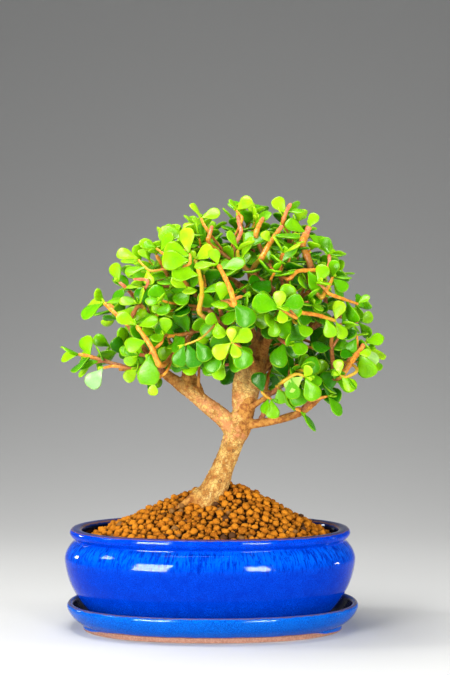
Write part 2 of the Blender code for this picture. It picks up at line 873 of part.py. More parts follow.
def grow_stems(obstacles):
    # Finds room for every twig and leafy stem before any leaf is placed
    sprays = []
    hosts = host_points()
    for number, tip in enumerate(all_tips()):
        draw = random.Random(SEED * 1000 + number)
        for attempt in range(STEM_TRIES):
            aim = tip + random_vector(draw) * TIP_SHIFT * attempt
            host = nearest_host(aim, hosts)
            twig_path, stem_path = divide_path(grow_path(aim, host, draw))
            twig = (twig_path, taper(len(twig_path), TWIG_RADIUS))
            twig[1][0] = min(twig[1][0], host[2] * HOST_SHARE)
            stem = (stem_path, taper(len(stem_path), STEM_RADIUS))
            if room_for(twig, stem, number, obstacles):
                break
        else:
            print("no room for a spray at", tuple(round(value, 4) for value in tip))
            continue
        obstacles.append(tube_obstacle(*twig, "wood"))
        obstacles.append(tube_obstacle(*stem, number))
        sprays.append({"number": number, "draw": draw, "twig": twig, "stems": [stem], "leaves": []})
    return sprays


def leaf_face(root, tangent):
    low, high = FACE_HEIGHTS
    rise = max(0.0, min(1.0, (root.z - low) / (high - low)))
    up = FACE_UP[0] + (FACE_UP[1] - FACE_UP[0]) * rise
    light = Vector((0, math.copysign(FACE_SIDE * (1 - rise), root.y), up))
    return tangent * FACE_STEM + outward(root) * FACE_OUT + light


def try_leaf(spray, obstacles, root, tangent, radius, side, pair, partner):
    draw = spray["draw"]
    number = spray["number"]
    size, lean = pair
    for attempt in range(LEAF_TRIES):
        wobble = attempt * TRY_SWING
        twist = Matrix.Rotation(draw.uniform(-1, 1) * (PAIR_TWIST + wobble), 3, tangent)
        angle = math.radians(lean) + draw.uniform(-1, 1) * (PAIR_SWING + wobble)
        along = tangent * math.cos(angle) + (twist @ side) * math.sin(angle)
        face = leaf_face(root, tangent) + random_vector(draw) * FACE_SPREAD
        scale = size * draw.uniform(*LEAF_SPREAD) * (1 - TRY_SHRINK * attempt)
        leaf = {
            "place": leaf_place(root, along, face),
            "start": LEAF_ROOT_DEPTH * radius,
            "length": LEAF_LENGTH * scale,
            "width": LEAF_WIDTH * scale * draw.uniform(*LEAF_SPREAD),
            "curl": draw.uniform(*LEAF_CURL),
        }
        candidate = leaf_obstacle(leaf, (number, "leaf", partner), LEAF_CLEARANCE)
        own = {number, (number, "leaf", partner)}
        if clear_of(candidate, obstacles, own):
            obstacles.append(leaf_obstacle(leaf, (number, "leaf", partner), 0.0))
            spray["leaves"].append(leaf)
            return True
    return False


def leaf_nodes(points, radii):
    # One on each stretch but the last, between the bends, and one just short of the end
    nodes = []
    for i in range(len(points) - 2):
        share = 0.5 if i else FIRST_NODE
        tangent = (points[i + 1] - points[i]).normalized()
        radius = (radii[i] + radii[i + 1]) / 2
        nodes.append((points[i].lerp(points[i + 1], share), tangent, radius))
    tangent = (points[-1] - points[-2]).normalized()
    nodes.append((points[-1] - tangent * TIP_INSET, tangent, radii[-1]))
    return nodes


def pair_side(tangent, phase, number):
    across = tangent.cross(Vector(PAIR_GUIDE)).normalized()
    return Matrix.Rotation(phase + number * math.pi / 2, 3, tangent) @ across


def grow_pairs(spray, obstacles, nodes, pairs, phase, taken=()):
    # Crossed pairs of leaves, one pair at each node
    for number, (root, tangent, radius) in enumerate(nodes):
        side = pair_side(tangent, phase, number)
        partner = tuple(round(value, 5) for value in root)
        for hand in (1, -1):
            if (number, hand) not in taken:
                try_leaf(spray, obstacles, root, tangent, radius, side * hand, pairs[number], partner)


def grow_shoots(spray, obstacles, nodes, phase):
    # Short side shoots, each in the place of one leaf low on the stem, where the crown is seen from the front
    draw = spray["draw"]
    taken = set()
    if spray["number"] >= len(OUTLINE_TIPS + FRONT_TIPS):
        return taken
    for number, (root, tangent, _) in enumerate(nodes[:-1]):
        if len(taken) == SHOOTS:
            break
        hand = draw.choice((1, -1))
        side = pair_side(tangent, phase, number) * hand
        length = draw.uniform(*SIDE_LENGTH)
        aim = tangent * math.cos(SIDE_ANGLE) + side * math.sin(SIDE_ANGLE)
        bend = (aim + outward(root) * SIDE_OUTWARD).normalized()
        middle = root + aim * length * SIDE_BEND
        shoot = [root, middle, middle + bend * length * (1 - SIDE_BEND)]
        radii = taper(3, SIDE_RADIUS)
        test = tube_obstacle(shoot[1:], radii[1:], spray["number"], LEAF_CLEARANCE)
        if clear_of(test, obstacles, {spray["number"]}):
            obstacles.append(tube_obstacle(shoot, radii, spray["number"]))
            spray["stems"].append((shoot, radii))
            taken.add((number, hand))
    return taken


def grow_spray(spray, obstacles):
    draw = spray["draw"]
    nodes = leaf_nodes(*spray["stems"][0])
    phase = draw.uniform(0, math.pi)
    taken = grow_shoots(spray, obstacles, nodes, phase)
    pairs = [OLD_PAIR] * (len(nodes) - len(STEM_PAIRS)) + STEM_PAIRS
    grow_pairs(spray, obstacles, nodes, pairs, phase, taken)
    for shoot in spray["stems"][1:]:
        turn = draw.uniform(0, math.pi)
        grow_pairs(spray, obstacles, leaf_nodes(*shoot), SIDE_PAIRS, turn)


def grow_tree():
    obstacles = []
    for path in [TRUNK] + list(LIMBS.values()):
        points, radii = split_path(path)
        obstacles.append(tube_obstacle(points, radii, "wood"))
    sprays = grow_stems(obstacles)
    for spray in sprays:
        grow_spray(spray, obstacles)
    return sprays


def build_wood(parts, bark, sprays):
    points, radii = split_path(TRUNK)
    trunk = tube("trunk_and_limbs", points, radii, parts, TRUNK_ROUNDNESS)
    pieces = []
    for name, path in LIMBS.items():
        points, radii = split_path(path)
        setting = THICK_ROUNDNESS if radii[0] > THICK_LIMB else LIMB_ROUNDNESS
        pieces.append(tube(name, points, radii, parts, setting))
    for spray in sprays:
        pieces.append(tube("twig", *spray["twig"], parts))
    unite(trunk, pieces, "limbs")
    finish_mesh(trunk, bark)


def build_spray(parts, green, name, spray):
    stem, *shoots = spray["stems"]
    body = tube(name, *stem, parts)
    pieces = [tube("shoot", *shoot, parts) for shoot in shoots]
    for leaf in spray["leaves"]:
        mesh = bpy.data.meshes.new("leaf")
        bm = leaf_body(leaf)
        bm.to_mesh(mesh)
        bm.free()
        pieces.append(add_object("leaf", mesh, parts))
    unite(body, pieces, "leaves")
    finish_mesh(body, green, sharp_degrees=60)


def build_trunk_bore(cutters):
    # The plain hole that the foot of the trunk stands in
    points, radii = split_path(TRUNK[:5])
    below = points[0] + (points[0] - points[1]).normalized() * 2 * GAP
    points = [below] + points
    radii = [radii[0]] + radii
    return tube("trunk_bore", points, [r + 2 * GAP for r in radii], cutters, TRUNK_ROUNDNESS)


def main():
    clear_scene()
    parts = new_collection("money_tree_bonsai")
    cutters = new_collection("cutters")
    materials = {name: make_material(name) for name in COLOURS}
    build_saucer(parts, materials["glaze"])
    build_pot(parts, cutters, materials["glaze"])
    build_screens(parts, materials["screen"])
    build_grit(parts, cutters, materials["grit"], build_trunk_bore(cutters))
    sprays = grow_tree()
    build_wood(parts, materials["bark"], sprays)
    for place, spray in enumerate(sprays, 1):
        build_spray(parts, materials["leaf"], f"spray_{place:02d}", spray)
    leaves = sum(len(spray["leaves"]) for spray in sprays)
    print(len(sprays), "sprays carry", leaves, "leaves")


main()
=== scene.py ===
import math
import random

import bmesh
import bpy
from mathutils import Matrix, Vector, kdtree, noise
from mathutils.bvhtree import BVHTree
from mathutils.geometry import interpolate_bezier


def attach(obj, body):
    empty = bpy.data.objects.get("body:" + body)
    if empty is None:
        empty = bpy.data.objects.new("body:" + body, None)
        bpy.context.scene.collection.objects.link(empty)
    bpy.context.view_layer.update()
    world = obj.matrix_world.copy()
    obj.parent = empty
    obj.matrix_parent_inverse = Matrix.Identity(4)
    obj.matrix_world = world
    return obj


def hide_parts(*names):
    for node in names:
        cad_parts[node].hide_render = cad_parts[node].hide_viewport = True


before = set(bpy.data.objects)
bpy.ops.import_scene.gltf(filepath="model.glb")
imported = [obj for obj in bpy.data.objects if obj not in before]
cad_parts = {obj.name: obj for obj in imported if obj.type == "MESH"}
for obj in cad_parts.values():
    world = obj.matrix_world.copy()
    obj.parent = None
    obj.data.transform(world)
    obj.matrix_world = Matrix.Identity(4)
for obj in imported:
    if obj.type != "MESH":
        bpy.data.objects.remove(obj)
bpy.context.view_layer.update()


# Node trees

def addNode(tree, kind, inputs=None, **settings):
    node = tree.nodes.new(kind)
    for name, value in settings.items():
        setattr(node, name, value)
    for key, value in (inputs or {}).items():
        if isinstance(value, bpy.types.NodeSocket):
            tree.links.new(value, node.inputs[key])
        else:
            node.inputs[key].default_value = value
    return node


def solid(colour):
    return (*colour, 1.0) if isinstance(colour, tuple) else colour


def calc(tree, operation, first, second=0.0):
    return addNode(tree, "ShaderNodeMath", {0: first, 1: second}, operation=operation).outputs[0]


class Look:
    # A material, with short calls that build its nodes
    def __init__(self, name, **sockets):
        self.finish = bpy.data.materials.new(name)
        self.finish.use_nodes = True
        self.tree = self.finish.node_tree
        self.shader = self.tree.nodes["Principled BSDF"]
        self.place = self.add("TexCoord").outputs["Object"]
        for key, value in sockets.items():
            self.shader.inputs[key.replace("_", " ")].default_value = solid(value)

    def add(self, kind, inputs=None, **settings):
        return addNode(self.tree, "ShaderNode" + kind, inputs, **settings)

    def read(self, name, output="Fac"):
        return self.add("Attribute", attribute_name=name).outputs[output]

    def part(self, vector, axis):
        return self.add("SeparateXYZ", {"Vector": vector}).outputs[axis]

    def plus(self, first, second):
        return calc(self.tree, "ADD", first, second)

    def times(self, first, second):
        return calc(self.tree, "MULTIPLY", first, second)

    def size(self, value):
        return calc(self.tree, "ABSOLUTE", value)

    def larger(self, first, second):
        return calc(self.tree, "MAXIMUM", first, second)

    def remap(self, value, low, high, toLow=0.0, toHigh=1.0):
        inputs = {"Value": value, "From Min": low, "From Max": high, "To Min": toLow, "To Max": toHigh}
        return self.add("MapRange", inputs, interpolation_type="SMOOTHSTEP").outputs[0]

    def cloud(self, scale, detail, roughness=0.5, distortion=0.0, place=None):
        inputs = {"Vector": place or self.place, "Scale": scale, "Detail": detail, "Roughness": roughness,
                  "Distortion": distortion}
        return self.add("TexNoise", inputs).outputs["Fac"]

    def cells(self, scale, feature="F1", place=None):
        inputs = {"Vector": place or self.place, "Scale": scale}
        return self.add("TexVoronoi", inputs, feature=feature).outputs["Distance"]

    def wander(self, values, reach):
        return self.times(self.plus(values, -0.5), reach)

    def mix(self, share, first, second):
        return self.add("Mix", {0: share, 6: solid(first), 7: solid(second)}, data_type="RGBA").outputs[2]

    def blend(self, values, low, high, first, second):
        return self.mix(self.remap(values, low, high), first, second)

    def cover(self, share, colour):
        self.colour = self.mix(share, self.colour, colour)

    def stain(self, values, low, high, amount, colour):
        # Rises from low to high, or falls where low is the greater
        self.cover(self.remap(values, low, high, 0.0, amount), colour)

    def close(self, height, strength, distance, roughness=None):
        bump = self.add("Bump", {"Strength": strength, "Distance": distance, "Height": height}).outputs[0]
        wanted = {"Base Color": self.colour, "Normal": bump, "Roughness": roughness}
        for socket, value in wanted.items():
            if value is not None:
                self.tree.links.new(value, self.shader.inputs[socket])
        return self.finish


# Meshes and pieces

def putPiece(name, mesh):
    piece = bpy.data.objects.new(name, mesh)
    bpy.context.scene.collection.objects.link(piece)
    return piece


def toMesh(bm, name):
    mesh = bpy.data.meshes.new(name)
    bm.to_mesh(mesh)
    bm.free()
    return mesh


def meshOf(name, places, faces):
    mesh = bpy.data.meshes.new(name)
    mesh.from_pydata([tuple(place) for place in places], [], faces)
    bm = bmesh.new()
    bm.from_mesh(mesh)
    bmesh.ops.recalc_face_normals(bm, faces=bm.faces)
    bm.to_mesh(mesh)
    bm.free()
    return mesh


def finderOf(places):
    finder = kdtree.KDTree(len(places))
    for i, place in enumerate(places):
        finder.insert(place, i)
    finder.balance()
    return finder


def setValues(mesh, name, kind, values):
    layer = mesh.attributes.new(name, kind, "POINT")
    if kind == "FLOAT_VECTOR":
        layer.data.foreach_set("vector", [part for value in values for part in value])
    else:
        layer.data.foreach_set("value", values)


def bakeModifiers(piece):
    graph = bpy.context.evaluated_depsgraph_get()
    mesh = bpy.data.meshes.new_from_object(piece.evaluated_get(graph))
    piece.modifiers.clear()
    piece.data = mesh
    return piece


def finishPiece(piece, nodes, material=None, smooth=True):
    if material:
        piece.data.materials.clear()
        piece.data.materials.append(material)
    if smooth:
        piece.data.shade_smooth()
    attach(piece, "root")
    if nodes:
        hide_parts(*nodes)
    return piece


def smoothLine(points, steps):
    # Rounds a row of points of any length with Catmull-Rom curves
    rows = [tuple(point) for point in points]
    full = [rows[0]] + rows + [rows[-1]]
    line = []
    for a, b, c, d in zip(full, full[1:], full[2:], full[3:]):
        for step in range(steps):
            t = step / steps
            line.append(tuple(
                0.5 * (2 * q + (r - p) * t + (2 * p - 5 * q + 4 * r - s) * t * t
                       + (3 * q - p - 3 * r + s) * t**3)
                for p, q, r, s in zip(a, b, c, d)
            ))
    return line + [rows[-1]]


def metres(*values):
    # From millimetres, rounded to the number that each stands for
    return tuple(round(value / 1000, 7) for value in values)


def inMetres(rows):
    return [metres(*row) for row in rows]


# Pot and saucer

oval = {"power": 2.25, "sides": 192, "sharp": math.radians(50)}

pot = {
    "halfLength": 0.106,
    "halfDepth": 0.081,
    "base": 0.0095,
    "floor": 0.0155,
    "outside": inMetres([(22, 9.5), (17.5, 12.5), (8.8, 24), (3, 35.5), (0, 49), (1, 55.5), (4.2, 60.8),
                         (7.4, 64.2)]),
    "lip": inMetres([(4.8, 66.8), (3.6, 69.6), (5.2, 72.2), (10.5, 72.4), (12.8, 70.2)]),
    "inside": inMetres([(13.2, 62), (8, 52), (8.2, 39), (15, 25), (26, 15.5)]),
    "footRadius": 0.009,
    "footPlace": (0.056, 0.036),
    "drainRadius": 0.007,
    "drainX": 0.036,
    "drillFrom": 0.0055,
    "drillTo": 0.0195,
}

saucer = {
    "halfLength": 0.1064,
    "halfDepth": 0.082,
    "shift": 0.0019,
    "floor": 0.005,
    "profile": inMetres([(11.8, 0), (11.4, 3.4), (9.2, 4.6), (4.2, 8.8), (1, 13.4), (0, 16.8), (1.6, 18.8),
                         (4.2, 18.2), (6.2, 14), (10.4, 8), (17, 5)]),
}


def ovalRing(halfLength, halfDepth, height, sides=None):
    sides = sides or oval["sides"]
    ring = []
    for i in range(sides):
        angle = 2 * math.pi * i / sides
        c, s = math.cos(angle), math.sin(angle)
        x = halfLength * math.copysign(abs(c) ** (2 / oval["power"]), c)
        y = halfDepth * math.copysign(abs(s) ** (2 / oval["power"]), s)
        ring.append((x, y, height))
    return ring


def ovalReach(x, y, halfLength, halfDepth):
    power = oval["power"]
    return (abs(x / halfLength) ** power + abs(y / halfDepth) ** power) ** (1 / power)


def ringFaces(rows, sides, capLow=True, capHigh=True):
    faces = []
    for row in range(rows - 1):
        for i in range(sides):
            j = (i + 1) % sides
            faces.append((row * sides + i, row * sides + j, (row + 1) * sides + j, (row + 1) * sides + i))
    if capLow:
        faces.append(tuple(reversed(range(sides))))
    if capHigh:
        faces.append(tuple(range((rows - 1) * sides, rows * sides)))
    return faces


def vesselPlaces(form, profile):
    return [
        place for inset, height in profile
        for place in ovalRing(form["halfLength"] - inset, form["halfDepth"] - inset, height)
    ]


def turnedVessel(name, form, profile):
    faces = ringFaces(len(profile), oval["sides"])
    return putPiece(name, meshOf(name, vesselPlaces(form, profile), faces))


def noteGlazeWalk(mesh, form, profile, crest):
    # How far each point lies from the lip's crest along the glaze, with its place on the belly's outline
    walk = [0.0]
    for (insetA, lowA), (insetB, lowB) in zip(profile, profile[1:]):
        walk.append(walk[-1] + math.hypot(insetB - insetA, lowB - lowA))
    top = min(range(len(profile)), key=lambda i: math.hypot(profile[i][0] - crest[0], profile[i][1] - crest[1]))
    belly = ovalRing(form["halfLength"], form["halfDepth"], 0)
    finder = finderOf(vesselPlaces(form, profile))
    values = []
    for vert in mesh.vertices:
        row, i = divmod(finder.find(vert.co)[1], len(belly))
        values.append((*belly[i][:2], walk[top] - walk[row]))
    setValues(mesh, "glazeWalk", "FLOAT_VECTOR", values)


def stub(name, radius, low, high, x, y, topRadius=None):
    bm = bmesh.new()
    bmesh.ops.create_cone(bm, cap_ends=True, segments=40, radius1=radius, radius2=topRadius or radius,
                          depth=high - low)
    bmesh.ops.translate(bm, verts=bm.verts, vec=(x, y, (low + high) / 2))
    return putPiece(name, toMesh(bm, name))


def cutOrJoin(piece, helpers, operation):
    for helper in helpers:
        step = piece.modifiers.new(operation, "BOOLEAN")
        step.operation = operation
        step.solver = "EXACT"
        step.object = helper
    bakeModifiers(piece)
    for helper in helpers:
        bpy.data.objects.remove(helper, do_unlink=True)


def makePot(glaze):
    profile = smoothLine(pot["outside"] + pot["lip"] + pot["inside"], 4)
    piece = turnedVessel("glazed_pot", pot, profile)
    footX, footY = pot["footPlace"]
    low, high, radius = saucer["floor"] + 0.0003, pot["base"] + 0.0015, pot["footRadius"]
    sides = (-1, 1)
    feet = [stub("foot", radius * 0.85, low, high, x * footX, y * footY, radius) for x in sides for y in sides]
    cutOrJoin(piece, feet, "UNION")
    low, high = pot["drillFrom"], pot["drillTo"]
    drills = [stub("drill", pot["drainRadius"], low, high, side * pot["drainX"], 0) for side in sides]
    cutOrJoin(piece, drills, "DIFFERENCE")
    noteGlazeWalk(piece.data, pot, profile, pot["lip"][2])
    piece.data.set_sharp_from_angle(angle=oval["sharp"])
    return finishPiece(piece, ["pot"], glaze, smooth=False)


def makeSaucer(glaze):
    profile = saucer["profile"][:1] + smoothLine(saucer["profile"][1:], 5)
    piece = turnedVessel("glazed_saucer", saucer, profile)
    noteGlazeWalk(piece.data, saucer, profile, saucer["profile"][6])
    piece.data.transform(Matrix.Translation((saucer["shift"], 0, 0)))
    piece.data.shade_smooth()
    piece.data.set_sharp_from_angle(angle=oval["sharp"])
    return finishPiece(piece, ["saucer"], glaze, smooth=False)


def makePotGlaze():
    look = Look("cobaltGlaze", Specular_IOR_Level=0.06, Specular_Tint=(0.62, 0.8, 1.0))
    walk = look.read("glazeWalk", "Vector")
    down = look.part(walk, "Z")
    drawnOut = look.add("Mapping", {"Vector": walk, "Scale": (1, 1, 0.2)}).outputs[0]
    strokes = look.cloud(640, 4, 0.68, 0.8, drawnOut)
    grainy = look.cloud(1500, 3, 0.65)
    # Deep cobalt, finely mottled, with painted shade darkening it round the belly
    look.colour = look.blend(grainy, 0.36, 0.66, (0, 0.018, 0.3), (0, 0.074, 0.72))
    look.stain(look.cloud(120, 4, 0.6), 0.35, 0.72, 0.6, (0, 0.022, 0.36))
    paintedBellyShade = look.times(look.remap(down, 0.018, 0.03), look.remap(down, 0.062, 0.042))
    look.cover(look.times(paintedBellyShade, 0.42), (0, 0.016, 0.28))
    # Lighter runs below the neck
    run = look.blend(strokes, 0.38, 0.6, (0, 0.012, 0.26), (0, 0.115, 0.76))
    below = look.remap(look.plus(down, look.wander(strokes, 0.024)), 0.017, 0.033, 0.8, 0)
    look.cover(look.times(below, look.remap(down, 0.0085, 0.0125)), run)
    # Painted shade, dark navy from the lip's top inwards and near black deeper inside, and brown where the
    # glaze breaks on the lip's edges
    breaks = look.wander(look.cloud(260, 3), 0.0022)
    outer = look.remap(look.size(look.plus(down, breaks)), 0.0002, 0.001, 0.8, 0)
    inner = look.remap(look.size(look.plus(look.plus(down, 0.0068), breaks)), 0.0003, 0.0014, 0.9, 0)
    look.stain(down, 0.001, -0.0016, 1, (0.004, 0.02, 0.15))
    look.stain(down, -0.0075, -0.01, 1, (0.001, 0.003, 0.014))
    look.cover(look.larger(outer, inner), (0.15, 0.075, 0.048))
    ripple = look.plus(look.cloud(190, 2), look.times(grainy, 0.25))
    return look.close(ripple, 0.06, 0.0012, look.remap(look.cloud(420, 3), 0.3, 0.8, 0.03, 0.06))


def makeSaucerGlaze():
    look = Look("paleCobaltGlaze", Specular_IOR_Level=0.08, Specular_Tint=(0.62, 0.82, 1.0))
    down = look.part(look.read("glazeWalk", "Vector"), "Z")
    grainy = look.cloud(1300, 3, 0.7)
    look.colour = look.blend(grainy, 0.38, 0.64, (0, 0.046, 0.34), (0.001, 0.13, 0.62))
    look.stain(look.cloud(90, 4, 0.6), 0.4, 0.75, 0.5, (0.002, 0.105, 0.5))
    look.stain(look.cells(520), 0.2, 0.1, 0.55, (0.001, 0.018, 0.16))
    # Painted shade: the saucer's inside goes near black
    look.stain(down, -0.0005, -0.005, 1, (0, 0.008, 0.05))
    near = look.size(look.plus(down, look.wander(look.cloud(240, 3), 0.0024)))
    look.stain(near, 0.0015, 0.0003, 0.8, (0.1, 0.055, 0.042))
    # Bare clay below the glaze's wavy lower edge, narrower at the saucer's ends
    narrower = look.remap(look.size(look.part(look.place, "X")), 0.062, 0.096, 0, 0.0034)
    wave = look.plus(look.wander(look.cloud(60, 3), 0.002), narrower)
    bare = look.remap(look.plus(look.part(look.place, "Z"), wave), 0.0038, 0.0044, 1, 0)
    look.cover(bare, look.blend(look.cloud(700, 4, 0.7), 0.35, 0.7, (0.27, 0.12, 0.072), (0.4, 0.205, 0.135)))
    gloss = look.remap(look.cloud(400, 3), 0.3, 0.8, 0.05, 0.12)
    ripple = look.plus(look.cloud(170, 2), look.times(grainy, 0.3))
    return look.close(ripple, 0.12, 0.0012, look.larger(gloss, look.times(bare, 0.85)))


# Drainage screens, which stay as packed

def makeScreenPlastic():
    look = Look("blackMesh", Roughness=0.55)
    dust = look.cloud(600, 3, 0.6)
    look.colour = look.blend(dust, 0.45, 0.75, (0.016, 0.016, 0.017), (0.09, 0.06, 0.04))
    return look.close(dust, 0.2, 0.0003)


# Grit

grit = {
    "edge": 0.0615,
    "peak": 0.1025,
    "peakPlace": (0.011, 0.01),
    "roundTop": 0.16,
    "dipPlace": (-0.006, -0.014),
    "dipReach": 0.018,
    "dipDepth": 0.006,
    "bedDrop": 0.0006,
    "floor": 0.0173,
    "wallGap": 0.0006,
    "rings": 44,
    "reach": 0.965,
    "sides": 120,
}

# Grains: closest spacing, least and greatest size, lift of the centre over the bed, seed
grainKinds = {
    "coarse": {"spacing": 0.0064, "sizes": (0.0044, 0.0064), "lift": (0.001, 0.0028), "seed": 3},
    "medium": {"spacing": 0.0036, "sizes": (0.0028, 0.0044), "lift": (0.0, 0.0021), "seed": 8},
    "fine": {"spacing": 0.0034, "sizes": (0.0014, 0.0026), "lift": (0.0, 0.0018), "seed": 15},
}


def gritHeight(x, y):
    halfLength = pot["halfLength"] - pot["inside"][0][0]
    halfDepth = pot["halfDepth"] - pot["inside"][0][0]
    peakX, peakY = grit["peakPlace"]
    inward = max(0.0, 1 - ovalReach(x, y, halfLength, halfDepth))
    reach = min(1.0, ovalReach(x - peakX * inward, y - peakY * inward, halfLength, halfDepth))
    top = grit["roundTop"]
    fall = (math.hypot(reach, top) - top) / (math.hypot(1, top) - top)
    near = math.hypot(x - grit["dipPlace"][0], y - grit["dipPlace"][1]) / grit["dipReach"]
    return grit["peak"] + (grit["edge"] - grit["peak"]) * fall - grit["dipDepth"] * math.exp(-near * near)


def insideInset(height):
    walls = [pot["lip"][-1]] + pot["inside"]
    for (insetA, high), (insetB, low) in zip(walls, walls[1:]):
        if low <= height <= high:
            return insetA + (insetB - insetA) * (high - height) / (high - low)
    return walls[-1][0]


def bedRings(reach):
    inset = insideInset(grit["edge"]) + grit["wallGap"]
    halfLength, halfDepth = pot["halfLength"] - inset, pot["halfDepth"] - inset
    rings = []
    for i in range(grit["rings"]):
        share = reach * (1 - i / grit["rings"]) ** 0.9
        ring = ovalRing(halfLength * share, halfDepth * share, 0, grit["sides"])
        rings.append([(x, y, gritHeight(x, y) - grit["bedDrop"]) for x, y, _ in ring])
    return rings


def makeBed(finish):
    rings = []
    for height in (grit["floor"], 0.025, 0.039, 0.052):
        inset = insideInset(height) + grit["wallGap"]
        rings.append(ovalRing(pot["halfLength"] - inset, pot["halfDepth"] - inset, height, grit["sides"]))
    rings += bedRings(1.0)
    faces = ringFaces(len(rings), grit["sides"])
    mesh = meshOf("grit_bed", [place for ring in rings for place in ring], faces)
    return finishPiece(putPiece("grit_bed", mesh), ["grit"], finish)


def makeGrains(count, draw, bumps):
    # A few lumpy grains to copy, each a cube of 24 faces pushed out to a rough ball
    home = bpy.data.collections.new("grain shapes")
    for number in range(count):
        bm = bmesh.new()
        bmesh.ops.create_cube(bm, size=1.0)
        bmesh.ops.subdivide_edges(bm, edges=bm.edges, cuts=1, use_grid_fill=True)
        shift = Vector([draw.uniform(-50, 50) for _ in range(3)])
        squash = Vector((1.0, draw.uniform(0.78, 1.0), draw.uniform(0.68, 0.95)))
        for vert in bm.verts:
            ball = vert.co.normalized() * 0.5
            ball *= 1 + bumps * noise.noise(ball * 2.6 + shift) + bumps * 0.5 * noise.noise(ball * 6 - shift)
            vert.co = (ball.lerp(vert.co, 0.3)) * squash
        mesh = toMesh(bm, f"grain{number}")
        mesh.shade_smooth()
        home.objects.link(bpy.data.objects.new(mesh.name, mesh))
    return home


def newTree(name, sockets):
    tree = bpy.data.node_groups.new(name, "GeometryNodeTree")
    tree.interface.new_socket("Geometry", in_out="OUTPUT", socket_type="NodeSocketGeometry")
    for label, kind in sockets.items():
        tree.interface.new_socket(label, in_out="INPUT", socket_type="NodeSocket" + kind)
    return tree, addNode(tree, "NodeGroupInput").outputs


def closeTree(tree, geometry, material):
    joined = addNode(tree, "GeometryNodeRealizeInstances", {"Geometry": geometry})
    painted = addNode(tree, "GeometryNodeSetMaterial", {"Geometry": joined.outputs[0], "Material": material})
    addNode(tree, "NodeGroupOutput", {"Geometry": painted.outputs[0]})


def copyShapes(tree, points, shapes, index, turn, size, material):
    # Copies one shape of a collection onto each point
    picked = addNode(tree, "GeometryNodeCollectionInfo", {
        "Collection": shapes, "Separate Children": True, "Reset Children": True,
    })
    placed = addNode(tree, "GeometryNodeInstanceOnPoints", {
        "Points": points, "Instance": picked.outputs[0], "Pick Instance": True, "Instance Index": index,
        "Rotation": addNode(tree, "FunctionNodeEulerToRotation", {"Euler": turn}).outputs[0], "Scale": size,
    })
    closeTree(tree, placed.outputs[0], material)


def runTree(piece, tree, values):
    step = piece.modifiers.new(tree.name, "NODES")
    step.node_group = tree
    for item in tree.interface.items_tree:
        if item.in_out == "INPUT" and item.name in values:
            step[item.identifier] = values[item.name]
    return bakeModifiers(piece)


def randomIn(tree, low, high, seed, kind="FLOAT"):
    slots = {"FLOAT_VECTOR": (0, 1, 0), "FLOAT": (2, 3, 1), "INT": (4, 5, 2)}[kind]
    inputs = {slots[0]: low, slots[1]: high, "Seed": seed}
    return addNode(tree, "FunctionNodeRandomValue", inputs, data_type=kind).outputs[slots[2]]


def scatterTree(shapes):
    sockets = {"Geometry": "Geometry", "Shapes": "Collection", "Spacing": "Float", "Least Size": "Float",
               "Greatest Size": "Float", "Least Lift": "Float", "Greatest Lift": "Float", "Seed": "Int",
               "Material": "Material"}
    tree, given = newTree("scatterGrains", sockets)
    seed = given["Seed"]
    spots = addNode(tree, "GeometryNodeDistributePointsOnFaces", {
        "Mesh": given["Geometry"], "Distance Min": given["Spacing"], "Density Max": 900000.0, "Seed": seed,
    }, distribute_method="POISSON").outputs["Points"]
    lift = randomIn(tree, given["Least Lift"], given["Greatest Lift"], seed)
    lift = addNode(tree, "ShaderNodeCombineXYZ", {"Z": lift})
    spots = addNode(tree, "GeometryNodeSetPosition", {"Geometry": spots, "Offset": lift.outputs[0]}).outputs[0]
    for name, step in (("grainTone", 5), ("grainShade", 9)):
        value = randomIn(tree, 0.0, 1.0, calc(tree, "ADD", seed, step))
        spots = addNode(tree, "GeometryNodeStoreNamedAttribute", {
            "Geometry": spots, "Name": name, "Value": value,
        }, data_type="FLOAT", domain="POINT").outputs[0]
    turn = randomIn(tree, (0, 0, 0), (6.283, 6.283, 6.283), seed, "FLOAT_VECTOR")
    size = randomIn(tree, given["Least Size"], given["Greatest Size"], calc(tree, "ADD", seed, 2))
    index = randomIn(tree, 0, shapes - 1, calc(tree, "ADD", seed, 3), "INT")
    even = addNode(tree, "ShaderNodeCombineXYZ", {"X": size, "Y": size, "Z": size}).outputs[0]
    copyShapes(tree, spots, given["Shapes"], index, turn, even, given["Material"])
    return tree


def scatterGrit(finish):
    shapes = 7
    tree, home = scatterTree(shapes), makeGrains(shapes, random.Random(5), 0.46)
    rings = bedRings(grit["reach"])
    places = [place for ring in rings for place in ring]
    faces = ringFaces(len(rings), grit["sides"], capLow=False)
    for name, kind in grainKinds.items():
        (least, greatest), (low, high) = kind["sizes"], kind["lift"]
        piece = putPiece(f"grit_{name}", meshOf(f"grit_{name}", places, faces))
        runTree(piece, tree, {
            "Shapes": home, "Spacing": kind["spacing"], "Least Size": least, "Greatest Size": greatest,
            "Least Lift": low, "Greatest Lift": high, "Seed": kind["seed"], "Material": finish,
        })
        # Each point's height over the bed, for the painted shade between the grains
        above = [vert.co.z - gritHeight(vert.co.x, vert.co.y) for vert in piece.data.vertices]
        setValues(piece.data, "aboveBed", "FLOAT", above)
        finishPiece(piece, [])
        print(name, "grains:", len(piece.data.polygons) // 24)


def makeGritClay():
    look = Look("bakedClay", Specular_IOR_Level=0.06)
    shade = look.read("grainShade")
    mealy = look.cloud(900, 4, 0.65)
    look.colour = look.mix(look.read("grainTone"), (0.29, 0.078, 0.005), (0.6, 0.205, 0.012))
    look.stain(mealy, 0.42, 0.72, 0.7, (0.66, 0.275, 0.026))
    # One grain in forty is dark, one in twenty dull brown
    look.stain(shade, 0.972, 0.98, 1, (0.085, 0.036, 0.014))
    look.stain(shade, 0.055, 0.045, 1, (0.24, 0.11, 0.03))
    # Painted shade, dark low down between the grains
    look.stain(look.read("aboveBed"), 0.003, 0.0002, 0.95, (0.03, 0.009, 0.002))
    return look.close(look.cloud(1600, 4, 0.7), 0.6, 0.0006, look.remap(mealy, 0.3, 0.8, 0.8, 0.98))


